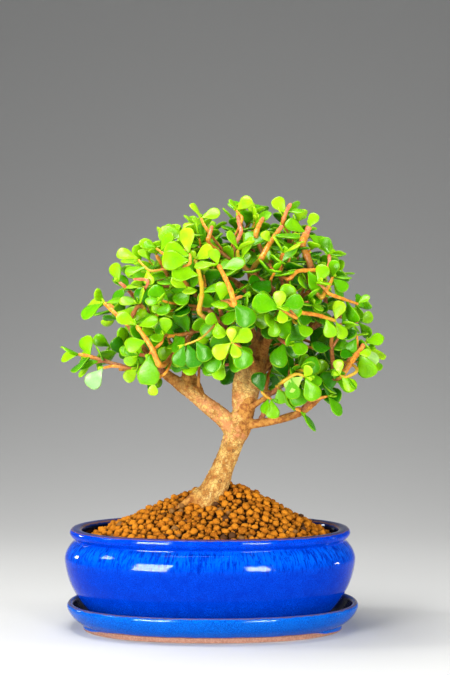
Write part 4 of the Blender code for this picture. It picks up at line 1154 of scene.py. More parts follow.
shown = {
    "crossing": ([(262, 257), (271, 241), (282, 226)], (1.9, 1.5), (0.1, 0.9), [
        (0.5, 180, 5, 50, 20.5, 0.55), (0.55, 2, 5, 68, 18, 0.5), (0.35, 118, 25, 20, 9.5, 0.95)]),
    "topRight": ([(283, 221), (286, 212), (291, 203)], (1.7, 1.3), (0.6, 0.98), [
        (0.35, 122, 0, 10, 13.5, 0.86), (0.5, 2, 0, 60, 12.5, 0.62), (0.1, 112, 0, 75, 9, 0.95)]),
    "pinkRight": ([(302, 243), (306, 234), (309, 226)], (2.7, 2.1), (0.55, 0.98), [
        (0.9, 62, 0, 15, 11.5, 0.82), (0.7, 145, 0, 40, 16, 0.66), (0.7, -30, 0, 45, 21, 0.62)]),
    "rightArm": ([(290, 278), (298, 271), (314, 270), (328, 267), (329, 254)], (1.5, 1.2), (0.45, 0.95), [
        (1.0, 105, 0, 15, 13, 0.55), (1.0, 0, 0, 78, 9, 0.5), (0.3, -60, 0, 25, 15.5, 0.55)]),
    "rightBunch": ([(322, 297), (329, 285), (333, 277)], (1.6, 1.2), (0.2, 0.3), [
        (1.0, 82, 0, 20, 12, 0.58), (0.9, -38, 20, 15, 13, 0.52), (1.0, 0, 0, 75, 13, 0.6),
        (0.95, -66, 0, 55, 16.5, 0.5)]),
    "farRight": ([(330, 294), (344, 299), (358, 304)], (1.3, 1), (0.5, 0.35), [
        (1.0, 34, 0, 40, 10, 0.7), (0.97, -72, 0, 60, 10.5, 0.62), (0.55, -70, 0, 58, 16.5, 0.48)]),
    "longRight": ([(299, 312), (318, 315), (336, 321)], (1.5, 1.3), (0.75, 0.15), [
        (1.0, 72, 0, 15, 14, 0.95), (1.0, -62, 0, 20, 13.5, 0.84), (0.72, -76, 0, 15, 13.5, 0.75)]),
    "lowRight": ([(343, 374), (354, 358), (366, 342)], (2.2, 1.7), (0.6, 0.8), [
        (0.95, 18, 0, 15, 13, 0.68), (0.8, -48, 0, 10, 15, 1.1), (0.72, -70, 0, 25, 20, 0.66),
        (0.6, 5, 20, 20, 9.5, 0.85), (0.5, 165, 0, 30, 10, 0.25)]),
    "lowNode": ([(356, 372), (346, 377), (340, 375)], (1.2, 0.9), (0.2, 0.2), [
        (1.0, 100, 0, 15, 11, 0.9), (0.95, -48, 0, 12, 14, 0.82), (0.6, -50, 0, 65, 11, 0.5)]),
    "rightTwig": ([(358, 353), (357, 343), (357, 335)], (1.2, 0.9), (0.3, 0.3), [
        (1.0, 135, 0, 20, 11, 0.7), (1.0, 12, 0, 70, 8, 0.85), (0.9, 240, 0, 20, 12, 0.45),
        (0.4, 178, 0, 65, 18, 0.5)]),
    "lowHanging": ([(312, 400), (320, 398), (328, 396)], (1.3, 0.9), (0.6, 0.5), [
        (1.0, 86, 0, 5, 17.5, 0.3), (1.0, -55, 0, 45, 16.5, 0.5), (0.1, 80, 0, 10, 16.5, 0.28)]),
    "limbHanging": ([(296, 409), (299, 410), (301, 412)], (1, 0.8), (0.4, 0.3), [
        (1.0, -52, 0, 68, 17.5, 0.42)]),
    "underRight": ([(262, 392), (267, 397), (272, 399)], (1.2, 0.9), (0.2, 0.3), [
        (1.0, -88, 15, 12, 14, 0.66), (0.8, -112, 0, 45, 11.5, 0.6), (0.1, 105, 0, 5, 15, 0.04)]),
    "lowGroup": ([(284, 381), (296, 374), (306, 377)], (1.3, 1), (0.15, 0.2), [
        (1.0, -68, 0, 6, 17.5, 0.62), (0.9, 215, 0, 8, 15, 1.06), (1.0, 70, 45, 20, 11, 0.92),
        (0.3, -80, 0, 12, 15, 0.5)]),
    "middleWhorl": ([(252, 361), (241, 349), (231, 342)], (0.9, 1), (0.85, 0.5), [
        (1.0, 92, 10, 8, 10, 1.0), (1.0, 28, 0, 8, 15, 0.88), (1.0, 218, 0, 8, 15, 0.96),
        (1.0, -68, 15, 12, 11, 0.93), (0.93, -60, 0, 5, 19, 0.48)]),
    "rightWhorl": ([(296, 318), (287, 313), (279, 309)], (1, 1), (0.4, 0.5), [
        (1.0, 90, 10, 8, 12.5, 0.9), (0.9, 162, 0, 25, 20, 0.55), (0.9, 28, 0, 20, 16.5, 0.46),
        (1.0, -72, 30, 10, 10.5, 0.88)]),
    "orangeStem": ([(234, 303), (229, 286), (218, 264)], (1.9, 1.5), (0.5, 0.6), [
        (0.05, -55, 0, 8, 20, 0.38), (1.0, 182, 0, 70, 16, 0.78), (0.85, 20, 0, 40, 17, 0.6),
        (1.0, 110, 20, 20, 12, 0.8)]),
    "orangeStub": ([(235, 299), (239, 297), (243, 296)], (1.3, 1.1), (0.6, 0.7), []),
    "ochreStem": ([(199, 310), (202, 291), (199, 273), (195, 259)], (1.8, 1.3), (0.2, 0.15), [
        (1.0, 38, 20, 25, 15, 0.92), (0.3, 22, 0, 55, 15, 0.62), (0.62, 168, 0, 30, 19, 0.72)]),
    "leftArm": ([(126, 323), (115, 313), (104, 303)], (1.7, 1.3), (0.8, 0.45), [
        (1.0, 210, 0, 58, 18.5, 0.58), (1.0, 15, 0, 60, 13, 0.68), (0.4, 0, 0, 36, 21, 0.82)]),
    "leftTop": ([(149, 270), (143, 265), (138, 259)], (1, 0.8), (0.2, 0.2), [
        (1.0, 158, 0, 48, 15.5, 0.86), (0.2, 190, 0, 62, 15, 0.68), (0.1, -85, 10, 20, 11, 0.96)]),
    "pinkTip": ([(147, 280), (140, 279), (133, 279)], (1.2, 0.9), (0.95, 1.0), []),
    "leftWhorl": ([(112, 366), (107, 367), (103, 368)], (1.1, 0.9), (0.4, 0.5), [(1.0, 232, 0, 8, 17, 1.15)]),
    "mirrorLeaf": ([(160, 344), (154, 349), (149, 354)], (1.1, 0.9), (0.5, 0.5), [
        (1.0, -92, 0, 14, 21.5, 0.6)]),
    "underMirror": ([(164, 374), (158, 378), (153, 381)], (1, 0.8), (0.3, 0.3), [(1.0, -92, 0, 12, 10, 0.93)]),
    "leftStem": ([(158, 363), (150, 345), (136, 325)], (2.1, 1.5), (0.6, 0.2), [
        (1.0, 150, 0, 40, 15, 0.78), (0.95, 20, 10, 40, 15, 0.66), (0.55, 195, 0, 20, 15, 0.72)]),
    "deepPair": ([(199, 339), (192, 342), (184, 345)], (0.8, 0.7), (0.1, 0.1), [
        (1.0, 250, 0, 8, 15, 0.34), (0.75, -72, 0, 8, 17, 0.26), (0.2, -60, 0, 8, 16, 0.36)]),
    "thinLeaf": ([(277, 386), (280, 389), (283, 392)], (0.9, 0.7), (0.2, 0.2), [
        (1.0, -56, 0, 68, 16, 0.62), (0.8, -45, 0, 20, 15, 0.5), (0.2, -75, 0, 20, 12, 0.62)]),
    "yellowLeaf": ([(190, 262), (190, 257), (189, 253)], (1.1, 0.9), (0.3, 0.3), [
        (1.0, 96, 0, 28, 17.5, 0.96), (0.6, 160, 0, 20, 18, 0.76), (0.1, 178, 0, 15, 19, 0.74)]),
    "pinkStub": ([(241, 231), (239, 223), (238, 216)], (1.5, 1.3), (0.9, 0.98), []),
    "upperStub": ([(256, 233), (259, 225), (263, 218)], (1.8, 1.4), (0.5, 0.85), []),
    "leftStub": ([(208, 240), (210, 233), (212, 226)], (1.5, 1.3), (0.6, 0.9), []),
    "topLeaf": ([(242, 218), (239, 214), (236, 210)], (1, 0.8), (0.3, 0.3), [
        (1.0, 38, 0, 15, 13.5, 0.86), (1.0, 122, 0, 70, 9, 0.8)]),
    "topLeft": ([(206, 228), (203, 223), (201, 218)], (1.1, 0.9), (0.4, 0.8), [
        (1.0, 122, 0, 70, 12.5, 0.92), (1.0, 20, 0, 30, 14, 0.84)]),
    "upperLeft": ([(188, 240), (184, 236), (180, 232)], (1, 0.8), (0.3, 0.3), [
        (1.0, 155, 0, 58, 11, 0.68), (0.3, 170, 0, 35, 19, 0.74)]),
    "shoulderLeft": ([(164, 254), (160, 251), (156, 248)], (1, 0.8), (0.3, 0.3), [
        (1.0, 158, 0, 45, 9.5, 0.64), (0.4, 60, 0, 40, 15, 0.7)]),
}


def behindPixel(pixel, push, near=None):
    # The place on the crown's front that a pixel of the photograph shows
    x = (pixel[0] - picture["middle"][0]) * picture["pixel"]
    z = picture["middleHeight"] - (pixel[1] - picture["middle"][1]) * picture["pixel"]
    heart, radii = crown["heart"], crown["radii"]
    out = 1 - ((x - heart.x) / radii.x) ** 2 - ((z - heart.z) / radii.z) ** 2
    depth = (near or -radii.y * picture["reach"] * math.sqrt(max(0.02, out))) - push
    eye = Vector(studio["camera"])
    return eye + (Vector((x, 0, z)) - eye) * (1 - depth / eye.y)


def shownLeaf(points, radii, share, bearing, lean, roll, length, tone):
    bearing, lean, roll = [math.radians(angle) for angle in (bearing, lean, roll)]
    lengths = distancesAlong(points)
    length = metres(length)[0]
    root = pointAt(points, lengths, lengths[-1] * min(share, 0.97))
    along = Vector((math.cos(bearing) * math.cos(lean), -math.sin(lean), math.sin(bearing) * math.cos(lean)))
    face = Vector((0, -1, 0)) - along * -along.y
    face.normalize()
    across = along.cross(face)
    if across.dot(Vector((-0.4, 0, 1))) < 0:
        across.negate()
    return {
        "place": leafPlace(root, along, face * math.cos(roll) + across * math.sin(roll)),
        "start": leafForm["rootDepth"] * radii[-1], "length": length,
        "width": length * leafForm["width"] / leafForm["length"], "curl": -0.05, "tone": tone, "matched": True,
    }


def stemHosts(sprays):
    hosts = []
    for spray in sprays:
        for points, radii in spray["stems"]:
            for a, b, radius in zip(points, points[1:], radii):
                hosts.append((a.lerp(b, 0.5), (b - a).normalized(), radius))
    return hosts


def growShown(sprays, obstacles):
    woody = woodHosts(sprays)
    hosts = woody + stemHosts(sprays)
    grown = []
    for number, (name, (pixels, ends, tint, leaves)) in enumerate(shown.items(), 200):
        best, near = None, picture["near"].get(name)
        # Pushed out until it clears its neighbours, or to where it meets the fewest
        for step in range(picture["pushes"]):
            stem = [behindPixel(pixel, step * picture["push"], near) for pixel in pixels]
            radii = taper(len(stem), metres(*ends))
            blades = [shownLeaf(stem, radii, *leaf) for leaf in leaves]
            tests = [tubeObstacle(stem, radii, number)] + [leafObstacle(leaf, number, 0.0) for leaf in blades]
            blocked = sum(not clearOf(test, obstacles) for test in tests)
            if best is None or blocked < best[0]:
                best = (blocked, stem, radii, blades, tests)
            if not blocked:
                break
        _, stem, radii, blades, tests = best
        obstacles += tests
        host = nearestHost(stem[0], woody if near else hosts, 0.006)
        leave = (stem[1] - stem[0]).normalized()
        pull = 0.4 * (stem[0] - host[0]).length
        arrive = stem[0] - (leave * 0.6 + Vector((0, -0.5, 0))) * pull
        hidden = interpolate_bezier(host[0], host[0] + host[1] * pull, arrive, stem[0], 5)
        path = [Vector(point) for point in hidden[:-1]] + stem
        grown.append({"stems": [(path, [radii[0] * 0.9] * 4 + radii)], "leaves": blades, "tint": tint})
    return grown


def growTree():
    obstacles = [tubeObstacle(*splitPath(path), "wood") for path in wood]
    sprays = growStems(obstacles)
    for spray in sprays:
        growSpray(spray, obstacles)
    grown = growShown(sprays, obstacles)
    growFillers(sprays, grown, obstacles)
    return sprays, grown


# Trunk and limbs: smoothed tubes melted into one skin, then worked over as flaking bark

bark = {
    "voxel": 0.00075,
    "smoothing": 3,
    "lump": (110, 0.0007),
    "flake": (330, 0.00085),
    "grain": (900, 0.00028),
    # Dark knots on the trunk's front: place and radius
    "knots": [((0.0172, -0.0076, 0.129), 0.0012), ((0.0073, -0.0088, 0.1071), 0.0014),
              ((-0.0022, -0.0108, 0.101), 0.0011), ((0.021, -0.007, 0.133), 0.0009)],
}


def plainTube(name, path, sides):
    curve = bpy.data.curves.new(name, "CURVE")
    curve.dimensions = "3D"
    curve.bevel_depth = 1.0
    curve.bevel_resolution = (sides - 4) // 2
    curve.use_fill_caps = True
    spline = curve.splines.new("POLY")
    spline.points.add(len(path) - 1)
    for point, place in zip(spline.points, path):
        point.co = (*place[:3], 1.0)
        point.radius = place[3]
    return putPiece(name, curve)


def makeWood(finish):
    tubes = [plainTube("tube", smoothLine(path, 4), 20 if path is trunk else 14) for path in wood + growths]
    graph = bpy.context.evaluated_depsgraph_get()
    bm = bmesh.new()
    for tube in tubes:
        bm.from_mesh(bpy.data.meshes.new_from_object(tube.evaluated_get(graph)))
    for tube in tubes:
        bpy.data.objects.remove(tube, do_unlink=True)
    bmesh.ops.remove_doubles(bm, verts=bm.verts, dist=1e-6)
    piece = putPiece("bark_trunk_and_limbs", toMesh(bm, "bark_trunk_and_limbs"))
    skin = piece.modifiers.new("Melt", "REMESH")
    skin.mode = "VOXEL"
    skin.voxel_size = bark["voxel"]
    ease = piece.modifiers.new("Ease", "SMOOTH")
    ease.factor = 0.5
    ease.iterations = bark["smoothing"]
    bakeModifiers(piece)
    roughen(piece.data)
    print("bark faces:", len(piece.data.polygons))
    return finishPiece(piece, ["trunk_and_limbs"], finish)


def roughen(mesh):
    # Lumps, flakes and grain, less on thin wood
    line = [spot for path in wood + growths for spot in smoothLine(path, 4)]
    finder = finderOf([spot[:3] for spot in line])
    thickness, moved = [], []
    for vert in mesh.vertices:
        thick = min(1.0, line[finder.find(vert.co)[1]][3] / 0.01)
        lump = noise.noise(vert.co * bark["lump"][0]) * bark["lump"][1]
        near, _ = noise.voronoi(vert.co * bark["flake"][0])
        crack = min(1.0, (near[1] - near[0]) * 2.6)
        flake = (crack - 0.6) * bark["flake"][1] * (0.6 + 0.8 * noise.noise(vert.co * 160))
        grain = noise.noise(vert.co * bark["grain"][0]) * bark["grain"][1]
        moved.append(vert.co + vert.normal * (lump + flake + grain) * thick ** 0.7)
        thickness.append(thick)
    mesh.vertices.foreach_set("co", [part for place in moved for part in place])
    setValues(mesh, "woodThick", "FLOAT", thickness)
    mesh.update()


def makeBark():
    look = Look("flakingBark", Specular_IOR_Level=0.14)
    height = look.part(look.place, "Z")
    broad, patch, speck = look.cloud(120, 4, 0.6), look.cloud(330, 4, 0.65), look.cloud(1100, 3, 0.7)
    look.colour = look.blend(broad, 0.36, 0.66, (0.4, 0.175, 0.036), (0.74, 0.47, 0.135))
    look.stain(patch, 0.52, 0.66, 0.75, (0.42, 0.135, 0.032))
    look.stain(patch, 0.46, 0.34, 0.7, (0.82, 0.58, 0.22))
    look.stain(speck, 0.56, 0.72, 0.75, (0.13, 0.055, 0.018))
    look.stain(look.cells(330, "DISTANCE_TO_EDGE"), 0.1, 0, 0.55, (0.16, 0.07, 0.022))
    # Pinkish young skin round the fork, small brown pits, and a few knots
    fork = look.times(look.remap(height, 0.13, 0.141), look.remap(height, 0.175, 0.162))
    look.cover(look.times(fork, look.remap(look.cloud(210, 4, 0.65), 0.44, 0.58, 0, 0.75)), (0.62, 0.24, 0.095))
    pits = look.times(look.remap(look.cells(480), 0.26, 0.12), look.remap(broad, 0.62, 0.42, 0, 0.7))
    look.cover(pits, (0.2, 0.08, 0.025))
    for spot, size in bark["knots"]:
        apart = look.add("VectorMath", {0: look.place, 1: spot}, operation="DISTANCE").outputs["Value"]
        ring = look.size(look.plus(apart, -size * 0.75))
        look.stain(ring, size * 0.45, size * 0.1, 0.75, (0.12, 0.05, 0.018))
    # Painted shade darkens the wood up in the crown, and thin wood is darker
    paintedCrownShade = look.blend(patch, 0.4, 0.66, (0.06, 0.022, 0.01), (0.3, 0.11, 0.035))
    look.cover(look.times(look.remap(height, 0.168, 0.215), 0.85), paintedCrownShade)
    skin = look.blend(patch, 0.42, 0.62, (0.52, 0.23, 0.042), (0.27, 0.085, 0.018))
    look.stain(look.read("woodThick"), 0.5, 0.38, 0.88, skin)
    rough = look.plus(speck, look.times(patch, 1.5))
    return look.close(rough, 0.7, 0.0009, look.remap(patch, 0.3, 0.7, 0.62, 0.92))


# Twigs and stems: paths turned to tubes by one tree

def tubeTree():
    tree, given = newTree("stemTubes", {"Geometry": "Geometry", "Sides": "Int", "Material": "Material"})
    line = addNode(tree, "GeometryNodeMeshToCurve", {"Mesh": given["Geometry"]})
    ring = addNode(tree, "GeometryNodeCurvePrimitiveCircle", {"Resolution": given["Sides"], "Radius": 1.0})
    size = addNode(tree, "GeometryNodeInputNamedAttribute", {"Name": "stemRadius"}, data_type="FLOAT")
    tube = addNode(tree, "GeometryNodeCurveToMesh", {
        "Curve": line.outputs[0], "Profile Curve": ring.outputs[0], "Scale": size.outputs[0], "Fill Caps": True,
    })
    closeTree(tree, tube.outputs[0], given["Material"])
    return tree


def tubesPiece(name, paths, sides, tree, finish):
    # Each path is a row of (place, radius, age, tint)
    rows = [row for path in paths for row in path]
    edges, first = [], 0
    for path in paths:
        edges += [(first + i, first + i + 1) for i in range(len(path) - 1)]
        first += len(path)
    mesh = bpy.data.meshes.new(name)
    mesh.from_pydata([tuple(row[0]) for row in rows], edges, [])
    for i, label in enumerate(("stemRadius", "stemAge", "stemTint"), 1):
        setValues(mesh, label, "FLOAT", [row[i] for row in rows])
    return runTree(putPiece(name, mesh), tree, {"Sides": sides, "Material": finish})


# Distance between two leaf scars, and how much thicker the stem is there
scars = {"twig": (0.0042, 0.2), "stem": (0.0095, 0.22)}


def stemPath(points, radii, ages, tints, ringEvery, ringSize, step=0.0011):
    # Rounds a path, closes its end to a blunt tip and swells it at its leaf scars
    rows = smoothLine([(*p, r, a, t) for p, r, a, t in zip(points, radii, ages, tints)], 4)
    lengths = distancesAlong([Vector(row[:3]) for row in rows])
    count = max(4, int(lengths[-1] / step))
    path = []
    for i in range(count + 1):
        where = lengths[-1] * i / count
        k = max(j for j in range(len(rows)) if lengths[j] <= where + 1e-9)
        j = min(k + 1, len(rows) - 1)
        share = (where - lengths[k]) / (lengths[j] - lengths[k]) if j > k else 0
        row = [a + (b - a) * share for a, b in zip(rows[k], rows[j])]
        phase = (where / ringEvery) % 1.0
        swell = math.exp(-((min(phase, 1 - phase) * ringEvery / 0.0009) ** 2))
        left = (lengths[-1] - where) / row[3]
        blunt = math.sqrt(max(0.06, 1 - (1 - min(left, 1)) ** 2))
        radius, age, tint = row[3:]
        path.append((row[:3], radius * (1 + ringSize * swell) * blunt, age, tint + 0.25 * swell * ringSize))
    return path


def makeStems(sprays, grown, twigFinish, stemFinish):
    draw = random.Random(41)
    tree = tubeTree()
    twigs, young = [], []
    for spray in sprays:
        points, radii = spray["twig"]
        last = points[-1] + (points[-1] - points[-2]).normalized() * 0.0012
        ages, tints = [0.5, 0.25, 0.1], [draw.random()] * 3
        twigs.append(stemPath(points[:-1] + [last], radii, ages, tints, *scars["twig"]))
    for spray in sprays + grown:
        tint = draw.random()
        low, high = spray.get("tint", (tint, tint))
        for points, radii in spray["stems"]:
            shares = [i / (len(points) - 1) for i in range(len(points))]
            tints = [low + (high - low) * max(0.0, 2 * share - 1) for share in shares]
            young.append(stemPath(points, radii, [1 - share for share in shares], tints, *scars["stem"]))
    twigPiece = tubesPiece("ringed_twigs", twigs, 9, tree, twigFinish)
    stemPiece = tubesPiece("young_stems", young, 8, tree, stemFinish)
    finishPiece(twigPiece, [])
    finishPiece(stemPiece, [f"spray_{place:02d}" for place in range(1, len(sprays) + 1)])
    print("stem faces:", len(twigPiece.data.polygons) + len(stemPiece.data.polygons))


def makeTwigBark():
    look = Look("twigBark", Specular_IOR_Level=0.2)
    patch = look.cloud(500, 3, 0.6)
    look.colour = look.blend(patch, 0.35, 0.68, (0.22, 0.07, 0.025), (0.5, 0.215, 0.075))
    look.stain(look.read("stemTint"), 0.2, 1.1, 0.5, (0.42, 0.11, 0.035))
    look.cover(look.times(look.read("stemAge"), 0.6), (0.2, 0.085, 0.04))
    return look.close(look.cloud(1400, 3, 0.7), 0.5, 0.0005, look.remap(patch, 0.3, 0.7, 0.42, 0.7))


def makeStemSkin():
    look = Look("redStem", Subsurface_Weight=0.12, Subsurface_Scale=0.002, Roughness=0.34,
                Specular_IOR_Level=0.3)
    tint, patch = look.read("stemTint"), look.cloud(420, 3, 0.6)
    look.colour = look.blend(patch, 0.35, 0.65, (0.56, 0.165, 0.018), (0.8, 0.35, 0.034))
    pink = look.blend(patch, 0.35, 0.65, (0.62, 0.13, 0.055), (0.78, 0.25, 0.12))
    green = look.blend(patch, 0.3, 0.7, (0.36, 0.38, 0.014), (0.56, 0.34, 0.018))
    brown = look.blend(patch, 0.35, 0.65, (0.2, 0.06, 0.014), (0.38, 0.15, 0.036))
    look.stain(tint, 0.72, 0.9, 1, pink)
    look.cover(look.times(look.remap(tint, 0.34, 0.16), 0.8), green)
    look.stain(look.plus(look.read("stemAge"), look.times(patch, 0.4)), 0.5, 1.05, 1, brown)
    return look.close(look.cloud(1200, 3, 0.6), 0.25, 0.0004)


# Leaves: a few fleshy blades, copied onto every leaf's place

blade = {
    "stations": [0.0, 0.1, 0.25, 0.42, 0.6, 0.77, 0.9, 0.975],
    "ring": [(-1.0, 0.0), (-0.8, 0.72), (0.0, 1.0), (0.8, 0.72), (1.0, 0.0), (0.8, -0.72), (0.0, -1.0),
             (-0.8, -0.72)],
    # How many stems still carry buds, and how the light and chance vary the tone
    "budding": 0.45,
    "light": Vector((-0.42, 0.05, 0.85)),
    "lightShare": 0.15,
    "drift": 0.11,
    "curls": [-0.13, -0.08, -0.03, 0.02, 0.06],
    "shapes": 10,
}


def bladeShape(name, curl, draw):
    # A blade one unit long: full and rounded at its edge, wedge-shaped at its root
    places, rims, spots = [], [], []
    thick = leafForm["thickness"] / leafForm["length"] / 2 * 1.06
    ratio = leafForm["width"] / leafForm["length"] / 2
    wave, wavePhase = draw.uniform(0, 0.035), draw.uniform(0, 6.28)
    skew, twist = draw.uniform(-0.05, 0.05), draw.uniform(-0.22, 0.22)
    cup = leafForm["cup"] * draw.uniform(0.2, 1.5)
    for share in blade["stations"]:
        wide = halfWidth(min(share, 0.985)) * (0.86 if share < 0.05 else 1.0)
        body = thick * min(1.0, 0.52 + 1.5 * share) * (1 - 0.55 * max(0.0, (share - 0.8) / 0.2) ** 2)
        for across, up in blade["ring"]:
            y = across * wide * ratio + skew * share * share
            z = up * body + (cup * across * across * (1 - 0.6 * share) * ratio * 2 + curl * share * share)
            z += wave * math.sin(wavePhase + 5 * share) * across + twist * y * share
            places.append((share, y, z))
            rims.append(max(abs(across) ** 3, max(0.0, (share - 0.86) / 0.115) ** 2))
            spots.append((across * wide * ratio, share, 1.0 if up >= 0 else 0.0))
    last, sides = len(places), len(blade["ring"])
    places.append((1.0, skew, curl))
    rims.append(1.0)
    spots.append((0.0, 1.0, 1.0))
    faces = ringFaces(len(blade["stations"]), sides, capHigh=False)
    faces += [(last - sides + i, last - sides + (i + 1) % sides, last) for i in range(sides)]
    mesh = meshOf(name, places, faces)
    setValues(mesh, "leafRim", "FLOAT", rims)
    setValues(mesh, "leafSpot", "FLOAT_VECTOR", spots)
    mesh.shade_smooth()
    return bpy.data.objects.new(name, mesh)


def leafTree():
    tree, given = newTree("setLeaves", {"Geometry": "Geometry", "Blades": "Collection", "Material": "Material"})
    kinds = {"leafBlade": "INT", "leafTurn": "FLOAT_VECTOR", "leafSize": "FLOAT_VECTOR"}
    index, turn, size = [
        addNode(tree, "GeometryNodeInputNamedAttribute", {"Name": name}, data_type=kind).outputs[0]
        for name, kind in kinds.items()
    ]
    copyShapes(tree, given["Geometry"], given["Blades"], index, turn, size, given["Material"])
    return tree


def makeLeaves(sprays, grown, finish):
    draw = random.Random(17)
    home = bpy.data.collections.new("blades")
    curls = blade["curls"]
    for number in range(blade["shapes"]):
        home.objects.link(bladeShape(f"blade{number:02d}", curls[number % len(curls)], draw))
    tree = leafTree()
    leaves = [leaf for spray in sprays + grown for leaf in spray["leaves"]]
    for spray in sprays + grown:
        for points, radii in spray["stems"]:
            leaves += budLeaves(points, draw) if draw.random() < blade["budding"] else []
    starts, turns, sizes, shapes, tones, seeds = [], [], [], [], [], []
    for leaf in leaves:
        place, length = leaf["place"], leaf["length"]
        starts.append(tuple(place @ Vector((leaf["start"], 0, 0))))
        turns.append(tuple(place.to_3x3().to_euler()))
        wider = (leaf["width"] / length) / (leafForm["width"] / leafForm["length"])
        sizes.append((length, length * wider, length * 0.75 + leafForm["length"] * 0.25))
        nearest = min(range(len(curls)), key=lambda i: abs(curls[i] - leaf["curl"]))
        shapes.append(nearest + len(curls) * draw.randrange(blade["shapes"] // len(curls)))
        # Lighter high up and on the left, where the photograph's light comes from
        lit = outward(place.translation).dot(blade["light"])
        drift = draw.gauss(0, blade["drift"])
        litAndVariedTone = min(1.0, leaf["tone"] - 0.01 + blade["lightShare"] * lit + drift)
        tones.append(max(0.0, leaf["tone"] if leaf.get("matched") else litAndVariedTone))
        seeds.append(draw.random())
    mesh = bpy.data.meshes.new("leaves")
    mesh.from_pydata(starts, [], [])
    setValues(mesh, "leafTurn", "FLOAT_VECTOR", turns)
    setValues(mesh, "leafSize", "FLOAT_VECTOR", sizes)
    setValues(mesh, "leafBlade", "INT", shapes)
    # Each leaf's tone, with its painted light and shade
    setValues(mesh, "leafTone", "FLOAT", tones)
    setValues(mesh, "leafSeed", "FLOAT", seeds)
    piece = runTree(putPiece("fleshy_leaves", mesh), tree, {"Blades": home, "Material": finish})
    print(len(leaves), "leaves,", len(piece.data.polygons), "faces")
    return finishPiece(piece, [])


def budLeaves(points, draw):
    # Two tiny leaves still standing up at the stem's growing end
    tangent = (points[-1] - points[-2]).normalized()
    side = pairSide(tangent, draw.uniform(0, 3.14), 0)
    buds = []
    for hand in (1, -1):
        lean = math.radians(draw.uniform(14, 26))
        along = tangent * math.cos(lean) + side * hand * math.sin(lean)
        size = draw.uniform(0.22, 0.4)
        buds.append({
            "place": leafPlace(points[-1] - tangent * 0.0008, along, -side * hand),
            "start": 0.0003,
            "length": leafForm["length"] * size,
            "width": leafForm["width"] * size * 0.9,
            "curl": 0.05,
            "tone": draw.uniform(0.78, 1.0),
        })
    return buds


def makeLeafSkin():
    look = Look("fleshyLeaf", Subsurface_Weight=0.12, Subsurface_Scale=0.003, Specular_IOR_Level=0.28,
                Specular_Tint=(0.92, 1.0, 0.72))
    look.shader.inputs["Subsurface Radius"].default_value = (0.5, 1.0, 0.15)
    seed = look.read("leafSeed")
    # Green from dark to lime by tone, with its painted light and shade; tones above 1 go towards a pale silvery
    # end, a painted sheen
    ramp = look.add("ValToRGB", {"Fac": look.times(look.read("leafTone"), 0.8)})
    stops = ramp.color_ramp.elements
    for stop, shade in zip(stops, ((0.005, 0.09, 0.0004, 1.0), (0.2, 0.36, 0.34, 1.0))):
        stop.color = shade
    for where, shade in ((0.22, (0.026, 0.205, 0.0004)), (0.44, (0.105, 0.375, 0.0004)),
                         (0.64, (0.25, 0.55, 0.002)), (0.8, (0.42, 0.69, 0.012))):
        stops.new(where).color = solid(shade)
    look.colour = ramp.outputs["Color"]
    look.stain(look.cloud(130, 3), 0.35, 0.7, 0.35, (0.028, 0.2, 0.0005))
    # Pale dots on some leaves, a pale rim on all
    own = look.add("CombineXYZ", {"X": look.times(seed, 9.0)}).outputs[0]
    spot = look.add("VectorMath", {0: look.read("leafSpot", "Vector"), 1: own}, operation="ADD").outputs[0]
    dots = look.remap(look.cells(17, place=spot), 0.2, 0.1)
    look.cover(look.times(look.times(dots, look.remap(seed, 0.35, 0.6)), 0.45), (0.44, 0.68, 0.06))
    look.stain(look.read("leafRim"), 0.66, 1, 0.42, (0.38, 0.58, 0.012))
    skin = look.plus(look.cloud(700, 3, 0.6), look.times(dots, 0.4))
    return look.close(skin, 0.16, 0.0006, look.remap(look.cloud(260, 3), 0.3, 0.7, 0.19, 0.33))


# Studio

studio = {
    "floor": (0.55, 0.55, 0.54),
    "world": (0.8, 0.81, 0.83),
    "worldStrength": 0.2,
    "camera": (0.0109, -1.37, 0.24),
    "tilt": 88.8,
    "viewAngle": 20.4,
    "sheet": 4.0,
    "bendFrom": 0.5,
    "bend": 2.0,
}

lamps = {
    # place, aimed at, (width, height), watts
    "frontLeft": ((-0.5, -0.84, 0.26), (0.0, 0.0, 0.12), (0.36, 0.34), 11.0),
    "frontRight": ((0.4, -0.9, 0.26), (0.0, 0.0, 0.12), (0.22, 0.3), 5.5),
    "glossLeft": ((-0.49, -0.82, 0.23), (0.0, 0.0, 0.06), (0.39, 0.84), 165.0),
    "glossRight": ((0.39, -0.88, 0.14), (0.0, 0.0, 0.06), (0.24, 0.8), 84.0),
    "above": ((-0.1, -0.05, 0.98), (0.01, 0.0, 0.2), (0.5, 0.45), 9.5),
    "sideLeft": ((-0.8, 0.02, 0.62), (0.0, 0.0, 0.14), (0.2, 0.18), 3.5),
    "sideRight": ((0.98, -0.1, 0.3), (0.0, 0.0, 0.12), (0.24, 0.22), 5.0),
    "glossHigh": ((-0.8, -0.12, 0.7), (0.0, 0.0, 0.06), (0.17, 0.17), 9.0),
    "glossBack": ((-0.88, 0.46, 0.3), (0.0, 0.0, 0.05), (0.12, 0.09), 3.0),
    "glossSide": ((0.98, 0.18, 0.13), (0.0, 0.0, 0.05), (0.11, 0.11), 3.4),
}


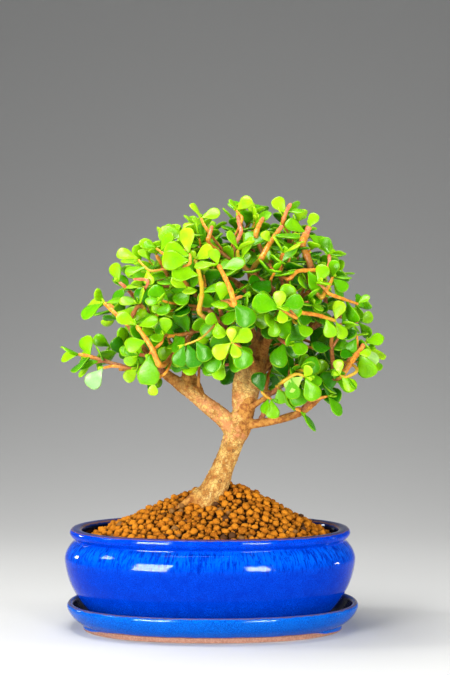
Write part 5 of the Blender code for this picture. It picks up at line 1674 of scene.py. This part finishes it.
def setStudio(glazedPieces):
    # The gloss lamps light nothing and only make the highlights on the glaze, the side lamps make none
    glazed = bpy.data.collections.new("glazed")
    for piece in glazedPieces:
        glazed.objects.link(piece)
    camera = bpy.data.cameras.new("camera")
    camera.sensor_fit = "VERTICAL"
    camera.angle = math.radians(studio["viewAngle"])
    eye = putPiece("camera", camera)
    eye.location = studio["camera"]
    eye.rotation_euler = (math.radians(studio["tilt"]), 0, 0)
    bpy.context.scene.camera = eye
    for name, (place, target, size, watts) in lamps.items():
        lamp = bpy.data.lights.new(name, "AREA")
        lamp.shape = "RECTANGLE"
        lamp.size, lamp.size_y = size
        lamp.energy = watts
        holder = putPiece(name, lamp)
        holder.location = place
        holder.rotation_euler = (Vector(target) - Vector(place)).to_track_quat("-Z", "Y").to_euler()
        holder.visible_glossy = not name.startswith("side")
        if name.startswith("gloss"):
            holder.visible_diffuse = False
            holder.light_linking.receiver_collection = glazed
    world = bpy.data.worlds.new("studio")
    world.use_nodes = True
    background = world.node_tree.nodes["Background"]
    background.inputs["Color"].default_value = (*studio["world"], 1.0)
    background.inputs["Strength"].default_value = studio["worldStrength"]
    bpy.context.scene.world = world
    bpy.context.scene.view_settings.view_transform = "Standard"
    makeFloor()


def makeFloor():
    # A pale sheet that curves up far behind
    bend, reach, steps = studio["bend"], studio["sheet"], 40
    angles = [math.pi / 2 * i / steps for i in range(steps + 1)]
    turn = [(studio["bendFrom"] + bend * math.sin(a), bend - bend * math.cos(a)) for a in angles]
    line = [(-3.0, 0.0)] + turn + [(studio["bendFrom"] + bend, reach)]
    places = [(x, y, z - 0.0002) for y, z in line for x in (-reach, reach)]
    faces = [(2 * i, 2 * i + 1, 2 * i + 3, 2 * i + 2) for i in range(len(line) - 1)]
    floor = putPiece("floor", meshOf("floor", places, faces))
    look = Look("paleFloor", Base_Color=studio["floor"], Roughness=0.75, Specular_IOR_Level=0.2)
    floor.data.materials.append(look.finish)
    floor.data.shade_smooth()


setStudio([makeSaucer(makeSaucerGlaze()), makePot(makePotGlaze())])
print("studio ready")
meshPlastic = makeScreenPlastic()
for node in ("drain_screen_left", "drain_screen_right"):
    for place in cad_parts[node].material_slots:
        place.material = meshPlastic
print("pot and saucer ready")
gritClay = makeGritClay()
makeBed(makeBedPaintedShade())
scatterGrit(gritClay)
print("grit ready")
sprays, grown = growTree()
print("tree grown:", sum(len(s["leaves"]) for s in sprays), "+", sum(len(s["leaves"]) for s in grown), "leaves")
makeWood(makeBark())
makeStems(sprays, grown, makeTwigBark(), makeStemSkin())
makeLeaves(sprays, grown, makeLeafSkin())
print("tree ready")
